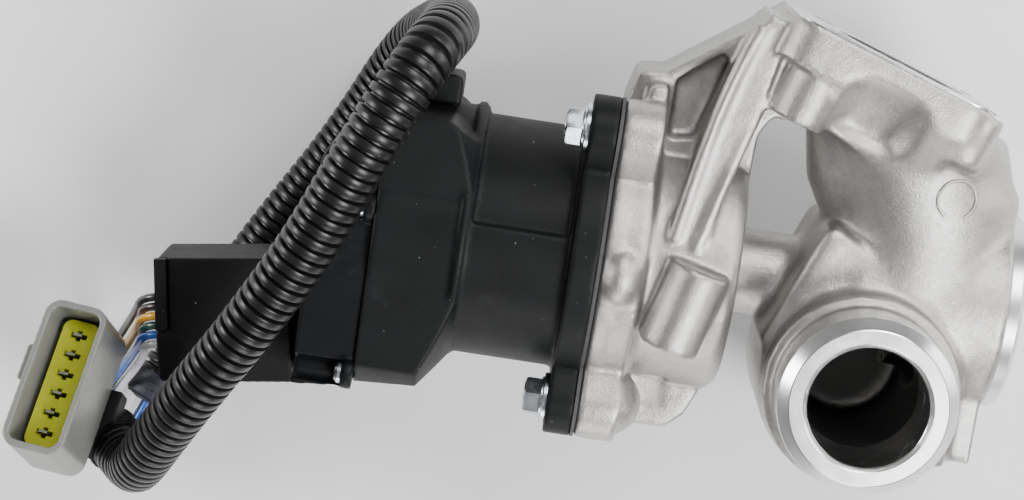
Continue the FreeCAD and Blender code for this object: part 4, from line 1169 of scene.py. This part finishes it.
@dataclass
class FlangeScrews:
    """Three hex screws with their washers, sizes in millimetres."""

    across: float = 8.0
    head: float = 4.4
    washer_radius: float = 5.9
    washer_bore: float = 2.75
    washer_thick: float = 1.2
    collar_radius: float = 4.9
    shank_radius: float = 2.5
    shank_length: float = 16.0
    head_sides: int = 48
    head_turn: float = 0.35

    def build(self) -> None:
        """Make the heads as one group and the washers as another."""
        heads, washers = [], []
        seat = DRAWING.flange_back
        for number, (y, z) in enumerate(DRAWING.bolt_spots()):
            foot = DRAWING.matrix(seat, y, z, TO_THE_REAR)
            washers.append(lathe(f"washer_{number}", self._washer(), foot, 64))
            place = DRAWING.matrix(seat - self.washer_thick, y, z, TO_THE_REAR)
            heads.append(self._head(number, place))
            heads.append(lathe(f"shank_{number}", self._shank(), place, 32))
        fit(joined("hex_heads", heads), Finishes.zinc, "flange_screws")
        fit(joined("washers", washers), Finishes.zinc, "screw_washers")

    def _washer(self) -> list[Corner]:
        """Return the washer's profile."""
        out, thick = self.washer_radius, self.washer_thick
        return [(0, self.washer_bore), (0, out - 0.15), (0.15, out), (thick - 0.25, out), (thick, out - 0.3),
                (thick, self.washer_bore)]

    def _shank(self) -> list[Corner]:
        """Return the profile of the pressed collar under the head and its shank."""
        tip, radius = -self.shank_length, self.shank_radius
        return [(tip, 0.2), (tip, radius - 0.5), (tip + 0.5, radius), (0, radius), (0, self.collar_radius),
                (0.35, self.collar_radius), (0.7, self.collar_radius - 0.5), (0.7, 0.2)]

    def _head(self, number: int, place: Matrix) -> bpy.types.Object:
        """Return one hex head with a chamfered crown and a shallow dish.

        Args:
            number: Which screw it is; the heads stand at different turns.
            place: Where the head's foot lies.

        Returns:
            The head's mesh object.
        """
        sides = self.head_sides
        levels = [(0.4, 1.0, 0.0), (self.head - 1.0, 1.0, 0.0), (self.head - 0.35, 1.0, 0.35),
                  (self.head, 0.86, 1.0), (self.head, 0.58, 1.0), (self.head - 0.45, 0.50, 1.0)]
        vertices = []
        for (height, share, roundness), side in product(levels, range(sides)):
            angle = FULL_TURN * side / sides
            inside = (angle % (math.pi / 3)) - math.pi / 6
            flat = self.across / 2 / math.cos(inside)
            crown = min(flat, self.across / 2 * 1.02)
            radius = share * (flat * (1 - roundness) + crown * roundness)
            vertices.append(place @ polar(radius, angle + self.head_turn * number, height))
        faces = bridge(len(levels), sides)
        faces.append(tuple(range(sides)))
        faces.append(tuple((len(levels) - 1) * sides + side for side in range(sides)))
        return shade(add_mesh(f"hex_{number}", vertices, faces), 25.0)


def joined(name: str, group: Sequence[bpy.types.Object]) -> bpy.types.Object:
    """Join mesh objects into one piece.

    Args:
        name: The piece's name.
        group: The objects, which are used up.

    Returns:
        The joined piece.
    """
    work = bmesh.new()
    for item in group:
        work.from_mesh(item.data)
        bpy.data.objects.remove(item)
    return finished(name, work)


@dataclass
class CoverScrews:
    """Four small pan-head screws of the rear cover, sizes in millimetres."""

    seat: float = -55.0
    row_high: float = 5.8
    row_low: float = -33.5
    reach: float = 25.5
    radius: float = 2.6
    thick: float = 1.8
    shank: float = 1.5
    shank_length: float = 2.4

    def build(self) -> None:
        """Make the four screws as one piece."""
        profile = [(-self.shank_length, 0.15), (-self.shank_length, self.shank), (0, self.shank),
                   (0, self.radius - 0.1), (0.2, self.radius), (0.9, self.radius),
                   (self.thick - 0.25, self.radius - 0.5), (self.thick, self.radius - 1.1),
                   (self.thick, 0.95), (self.thick - 0.8, 0.8), (self.thick - 0.8, 0.15)]
        group = []
        for side, row in product((-1, 1), (self.row_high, self.row_low)):
            place = DRAWING.matrix(self.seat, row, side * self.reach, TO_THE_REAR)
            group.append(lathe(f"cover_screw_{side}_{row}", profile, place, 40))
        fit(joined("pan_heads", group), Finishes.zinc, "cover_screws")


def read_line(name: str, points: Sequence[Vector]) -> list[Vector]:
    """Read the smooth line of a route from its spline.

    Args:
        name: A name for the spline.
        points: The route's points, in metres, which become the spline's control points.

    Returns:
        Points close together along the spline.
    """
    curve = bpy.data.curves.new(name + "_line", "CURVE")
    curve.dimensions = "3D"
    spline = curve.splines.new("NURBS")
    spline.points.add(len(points) - 1)
    for knot, spot in zip(spline.points, points):
        knot.co = (*spot, 1.0)
    spline.order_u = 3
    spline.use_endpoint_u = True
    spline.resolution_u = 32
    holder = placed(name + "_line", curve)
    mesh = modified(holder)
    line = [vertex.co.copy() for vertex in mesh.vertices]
    bpy.data.objects.remove(holder)
    bpy.data.meshes.remove(mesh)
    return line


def spaced(line: Sequence[Vector], step: float) -> tuple[list[Vector], float]:
    """Pick points at even steps along a line.

    Args:
        line: Points close together, in metres.
        step: The distance wanted between points, in metres.

    Returns:
        The picked points and the line's length.
    """
    spots = np.array([tuple(p) for p in line])
    travel = np.concatenate([[0.0], np.cumsum(np.linalg.norm(np.diff(spots, axis=0), axis=1))])
    count = max(2, round(travel[-1] / step) + 1)
    marks = np.linspace(0, travel[-1], count)
    picked = np.stack([np.interp(marks, travel, spots[:, axis]) for axis in range(3)], axis=1)
    return [Vector(p) for p in picked], float(travel[-1])


@dataclass
class Conduit:
    """The corrugated conduit with the tape at its mouth, sizes in millimetres."""

    route: tuple[Point, ...] = (
        (-106.1, -62.4, -33), (-101.1, -49.6, -37), (-91.8, -34.6, -38), (-80.8, -13.8, -37.5),
        (-65.5, 11.5, -37), (-53, 39, -31), (-43.5, 47.8, -6), (-41.6, 48.8, 19), (-43.2, 47.2, 37.5),
        (-48.6, 37.5, 44), (-56.5, 19.5, 44.5), (-65.8, -3.5, 41.2), (-77.2, -24.5, 36.5),
        (-88.9, -44.5, 27.5), (-95.4, -56.5, 18.5), (-100.4, -66.3, 9), (-103.7, -71.4, -0.7),
        (-108.9, -68.6, -8.1))
    radius: float = 6.6
    groove: float = 1.15
    pitch: float = 2.72
    length: float = 340.6
    tape_radius: float = 7.2
    tape_length: float = 7.0
    rib: tuple[Corner, ...] = (
        (0.0, 1.0), (0.06, 0.94), (0.12, 0.35), (0.19, 0.0), (0.33, 0.0), (0.40, 0.35), (0.46, 0.94),
        (0.52, 1.0), (0.76, 1.04))
    steps_per_rib: int = 50
    path_step: float = 1.5

    def build(self, on_end: Sequence[bpy.types.Object]) -> None:
        """Make the conduit and its tape.

        Args:
            on_end: The pieces at the conduit's far end; not used.
        """
        line = read_line("conduit", [DRAWING.place(*spot) for spot in self.route])
        centre, total = spaced(line, self.pitch * MM / self.steps_per_rib)
        ribs = round(total / (self.pitch * MM))
        marks, radii = [], []
        for number in range(ribs):
            for share, height in self.rib:
                spot = (number + share) / ribs * (len(centre) - 1)
                marks.append(centre[round(spot)])
                radii.append((self.radius - self.groove * (1 - height)) * MM)
        marks.append(centre[-1])
        radii.append(self.radius * MM)
        tube = shade(sweep("corrugated_conduit", marks, radii, 40), 50.0)
        fit(tube, Finishes.conduit, "conduit")
        tape = self._tape(line)
        DRAWING.place(*self.route[0])
        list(on_end)
        log.info("conduit: %d ribs, %.1f mm along its line", ribs, total / MM)

    def _tape(self, line: Sequence[Vector]) -> bpy.types.Object:
        """Wind the tape over the conduit's mouth in overlapping turns.

        Args:
            line: The conduit's smooth line, in metres.

        Returns:
            The tape.
        """
        heading = (line[3] - line[0]).normalized()
        turn = Vector((0, 0, 1)).rotation_difference(heading)
        place = Matrix.Translation(line[0]) @ turn.to_matrix().to_4x4()
        edge = self.tape_radius - 0.1
        inner = self.radius - 0.3
        profile = [(-0.6, inner - 2.2), (-0.3, inner - 1.6), (0.2, inner + 0.1), (0.9, edge - 0.1),
                   (2.4, edge), (2.5, edge - 0.22), (4.4, edge - 0.05), (4.5, edge - 0.3),
                   (self.tape_length - 0.1, edge - 0.12), (self.tape_length, edge - 0.4),
                   (self.tape_length, inner - 0.4), (1.0, inner - 2.4)]
        return fit(lathe("mouth_tape", profile, place, 48), Finishes.tape, "tape_wrap")


@dataclass
class Leads:
    """The six wires from the plug into the conduit's mouth, sizes in millimetres."""

    plug: Point = (-69.5, -26.9, 0.0)
    plug_turn: float = 8.7
    plug_length: float = 32.0
    drop: float = 1.8
    straight: float = 5.0
    radius: float = 1.0
    pitch: float = 2.3
    bundle_pitch: float = 2.5
    bundle_step: float = 1.3
    entry: float = 8.0
    line_step: float = 0.8
    lengths: tuple[tuple[str, float], ...] = (
        ("black", 97.3), ("brown", 90.0), ("yellow", 89.7), ("green", 82.5), ("blue", 82.5), ("white", 75.5))
    bundle: tuple[tuple[Point, float, float], ...] = (
        ((-107.6, -40.0, -11.0), 0.05, 0.45), ((-111.8, -48.1, -25.0), 0.25, 0.9),
        ((-116.6, -56.9, -33.0), 0.55, 1), ((-120.0, -65.6, -36.0), 0.85, 1),
        ((-118.6, -73.8, -35.5), 1, 1), ((-112.1, -77.1, -33.5), 1, 1))

    def routes(self, conduit: Conduit) -> list[list[Vector]]:
        """Lead the wires out of the plug in a row and close them to a bundle at the conduit's mouth.

        Args:
            conduit: The conduit that takes them in.

        Returns:
            The points of each wire's route, in the drawing's millimetres.
        """
        turn = Matrix.Rotation(math.radians(self.plug_turn), 3, "Z")
        outward, across = turn @ Vector((-1, 0, 0)), turn @ Vector((0, 1, 0))
        start = Vector(self.plug) + turn @ Vector((-self.plug_length, -self.drop, 0))
        mouth, inner = Vector(conduit.route[0]), Vector(conduit.route[1])
        entry = mouth - (inner - mouth).normalized() * self.entry
        middle = [start, start + outward * self.straight, *(Vector(spot) for spot, _, _ in self.bundle),
                  entry, mouth]
        closing = [0, 0, *(share for _, share, _ in self.bundle), 1, 1]
        stagger = [0, 0, *(share for _, _, share in self.bundle), 1, 1]
        last = len(middle) - 1
        routes: list[list[Vector]] = [[] for _ in self.lengths]
        for step, point in enumerate(middle):
            if step < 2:
                heading = outward
            elif step > last - 2:
                heading = (mouth - entry).normalized()
            else:
                before = (point - middle[step - 1]).normalized()
                after = (middle[step + 1] - point).normalized()
                heading = (before + after).normalized()
            across = (across - heading * across.dot(heading)).normalized()
            upward = across.cross(heading)
            for number, route in enumerate(routes):
                row = ((len(routes) - 1) / 2 - number) * self.pitch
                pair = (1 - number // 2) * self.bundle_pitch
                level = self.bundle_step * (1 if number % 2 == 0 else -1)
                beside = point + across * (row + (pair - row) * closing[step])
                route.append(beside + upward * level * stagger[step])
        return routes

    def build(self, conduit: Conduit) -> None:
        """Make each wire as a smooth tube.

        Args:
            conduit: The conduit that takes them in.
        """
        for (word, length), route in zip(self.lengths, self.routes(conduit)):
            points = [DRAWING.place(*spot) for spot in route]
            line, total = spaced(read_line(word, points), self.line_step * MM)
            piece = shade(sweep(f"{word}_lead", line, [self.radius * MM] * len(line), 20), 60.0)
            fit(piece, Finishes.wires[word], f"wire_{word}")
            log.info("%s lead: %.1f mm along its line", word, total / MM)


@dataclass
class Studio:
    """Floor, lights and camera, in millimetres of the drawing frame and degrees."""

    target: Point = (-20.5, -3.57, 0.63)
    distance: float = 595.0
    lean: float = 10.0
    roll: float = 8.7
    lens: float = 87.9
    sensor: float = 36.0
    floor_size: float = 6.0
    lamps: tuple[tuple[str, Point, float, float], ...] = (
        ("front_box", (520.0, -300.0, 900.0), 0.4, 13.0),
        ("key_box", (250.0, 600.0, 650.0), 0.4, 6.0),
        ("left_box", (-800.0, 100.0, 250.0), 0.3, 5.0),
        ("low_box", (50.0, -800.0, 300.0), 0.4, 3.0),
        ("right_box", (800.0, 300.0, 250.0), 0.5, 4.0))
    sky: float = 0.24
    paper: tuple[float, float] = (0.86, 0.90)
    paper_patch: float = 300.0
    paper_roughness: float = 0.9

    def build(self) -> None:
        """Make the floor, lights, sky and camera."""
        self._floor()
        target = DRAWING.place(*self.target)
        for name, spot, size, power in self.lamps:
            lamp = bpy.data.lights.new(name, "AREA")
            lamp.shape = "SQUARE"
            lamp.size = size
            lamp.energy = power
            holder = placed(name, lamp)
            holder.location = target + Vector(spot) * MM
            holder.rotation_euler = (-Vector(spot)).to_track_quat("-Z", "Y").to_euler()
        world = bpy.data.worlds.new("soft_room")
        bpy.context.scene.world = world
        world.use_nodes = True
        background = world.node_tree.nodes["Background"].inputs
        background["Color"].default_value = (1.0, 1.0, 1.0, 1.0)
        background["Strength"].default_value = self.sky
        self._camera(target)

    def _floor(self) -> None:
        """Make the pale floor under the lowest lug."""
        half = self.floor_size / 2
        level = DRAWING.place(0, 0, DRAWING.floor).z
        floor = add_mesh("pale_floor", [(-half, -half, level), (half, -half, level), (half, half, level),
                                        (-half, half, level)], [(0, 1, 2, 3)])
        graph = Graph("pale_paper")
        patches = graph.noise(graph.place(), self.paper_patch, 2.0)
        dark, light = (rgba((tone, tone, tone)) for tone in self.paper)
        paper = graph.blend(patches, dark, light)
        floor.data.materials.append(graph.surface({"Base Color": paper, "Roughness": self.paper_roughness}))

    def _camera(self, target: Vector) -> None:
        """Place the camera at the photograph's angle.

        Args:
            target: The point that it looks at, in metres.
        """
        lean, roll = math.radians(self.lean), math.radians(self.roll)
        back = Vector((0, math.sin(lean), math.cos(lean)))
        level = Vector((0, math.cos(lean), -math.sin(lean)))
        right = Vector((1, 0, 0)) * math.cos(roll) + level * math.sin(roll)
        up = Vector((-1, 0, 0)) * math.sin(roll) + level * math.cos(roll)
        camera = bpy.data.cameras.new("camera")
        camera.lens = self.lens
        camera.sensor_width = self.sensor
        camera.clip_start = 0.01
        holder = placed("camera", camera)
        turn = Matrix((right, up, back)).transposed().to_4x4()
        holder.matrix_world = Matrix.Translation(target + back * self.distance * MM) @ turn
        bpy.context.scene.camera = holder


@dataclass
class ReturnSpring:
    """The valve's return spring, in millimetres of the drawing."""

    start: float = 9.15
    end: float = 21.25
    radius: float = 8.6
    wire: float = 0.55
    turns: float = 4.5
    steps: int = 216

    def build(self) -> None:
        """Wind the spring along the valve's axis."""
        line = []
        for step in range(self.steps + 1):
            part = step / self.steps
            angle = FULL_TURN * self.turns * part
            line.append(DRAWING.place(self.start + (self.end - self.start) * part,
                                      self.radius * math.cos(angle), self.radius * math.sin(angle)))
        piece = shade(sweep("return_spring_wire", line, [self.wire * MM] * len(line), 12), 60.0)
        Finishes.dress(piece, Finishes.spring)
        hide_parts("return_spring")
        tuple(DRAWING.place(self.start + self.wire, 0, 0))
        tuple(DRAWING.place(self.end - self.wire, 0, 0))
        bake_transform(piece)
        log.info("%s: %d faces", piece.name, len(piece.data.polygons))


@dataclass
class PinCarrier:
    """The pin carrier of the free connector, set back in its shell, sizes in millimetres."""

    mouth: Point = (-123.4, -48.6, 10.0)
    yaw: float = -2.6
    pitch: float = -11.3
    roll: float = -28.7
    wide: float = 9.0
    long: float = 32.4
    corner: float = 2.2
    front: float = -6.6
    back: float = -17.5
    ways: int = 6
    way_pitch: float = 5.0
    slot_long: float = 2.1
    slot_thin: float = 0.62
    key_long: float = 1.35

    def build(self) -> bpy.types.Object:
        """Make the carrier with its crossed slots.

        Returns:
            The carrier.
        """
        yaw, pitch, roll = (Matrix.Rotation(math.radians(angle), 4, axis)
                            for angle, axis in ((self.yaw, "Z"), (self.pitch, "Y"), (self.roll, "X")))
        turn = yaw @ pitch @ roll
        place = Matrix.Translation(DRAWING.place(*self.mouth)) @ turn
        loops = [round_rectangle(self.wide, self.long, self.corner)]
        for way in range(self.ways):
            loops.append(self._cross((way - (self.ways - 1) / 2) * self.way_pitch))
        piece = pierced("pin_carrier", loops, self.back, self.front, place)
        return fit(piece, Finishes.carrier, "connector_insert")

    def _cross(self, level: float) -> list[Corner]:
        """Lay out one crossed slot.

        Args:
            level: Where it lies along the carrier.

        Returns:
            Its corners in their order.
        """
        arm, thin, key = self.slot_long, self.slot_thin, self.key_long
        cross = [(arm, -thin), (arm, thin), (thin, thin), (thin, key), (-thin, key), (-thin, thin),
                 (-arm, thin), (-arm, -thin), (-thin, -thin), (-thin, -key), (thin, -key), (thin, -thin)]
        return [(x, level + y) for x, y in cross]


@dataclass
class Harness:
    """Plug, free connector, wires and conduit."""

    conduit: Conduit = field(default_factory=Conduit)
    leads: Leads = field(default_factory=Leads)

    def build(self, frame: dict[str, Any]) -> None:
        """Make every harness piece.

        Args:
            frame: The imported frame.
        """
        shell = MouldedSkin("connector_shell", Finishes.shell, "grey_plastic", voxel=0.3,
                            rounds=5).build(frame)
        carrier = PinCarrier().build()
        collar = MouldedSkin("connector_collar", Finishes.plug, "black_plastic", voxel=0.35,
                             rounds=4).build(frame)
        pins = frame["nodes"]["connector_pins"]
        MouldedSkin("plug_housing", Finishes.plug, "black_plastic", voxel=0.35, rounds=2).build(frame)
        self.conduit.build([shell, carrier, collar, pins])
        self.leads.build(self.conduit)


@dataclass
class Actuator:
    """Motor housing, rear cover and the clip on top."""

    def build(self, frame: dict[str, Any]) -> None:
        """Make the moulded skins and the screws.

        Args:
            frame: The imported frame.
        """
        for node, finish, voxel in (("motor_housing", Finishes.moulding, 0.5),
                                    ("rear_cover", Finishes.cover, 0.5),
                                    ("harness_clip", Finishes.moulding, 0.4)):
            MouldedSkin(node, finish, "black_plastic", voxel=voxel, rounds=3).build(frame)
        CoverScrews().build()
        FlangeScrews().build()


def dress_nodes(frame: dict[str, Any]) -> None:
    """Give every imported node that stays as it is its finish.

    Args:
        frame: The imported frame.
    """
    for name, finish in NODE_FINISHES.items():
        Finishes.dress(frame["nodes"][name], finish)
        log.info("%s: dressed as packed", name)


def main() -> None:
    """Build the studio and every piece."""
    logging.basicConfig(level=logging.INFO, format="%(name)s %(message)s")
    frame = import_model()
    Studio().build()
    Harness().build(frame)
    Actuator().build(frame)
    ValveCasting().build(frame)
    ReturnSpring().build()
    dress_nodes(frame)


if __name__ == "__main__":
    main()
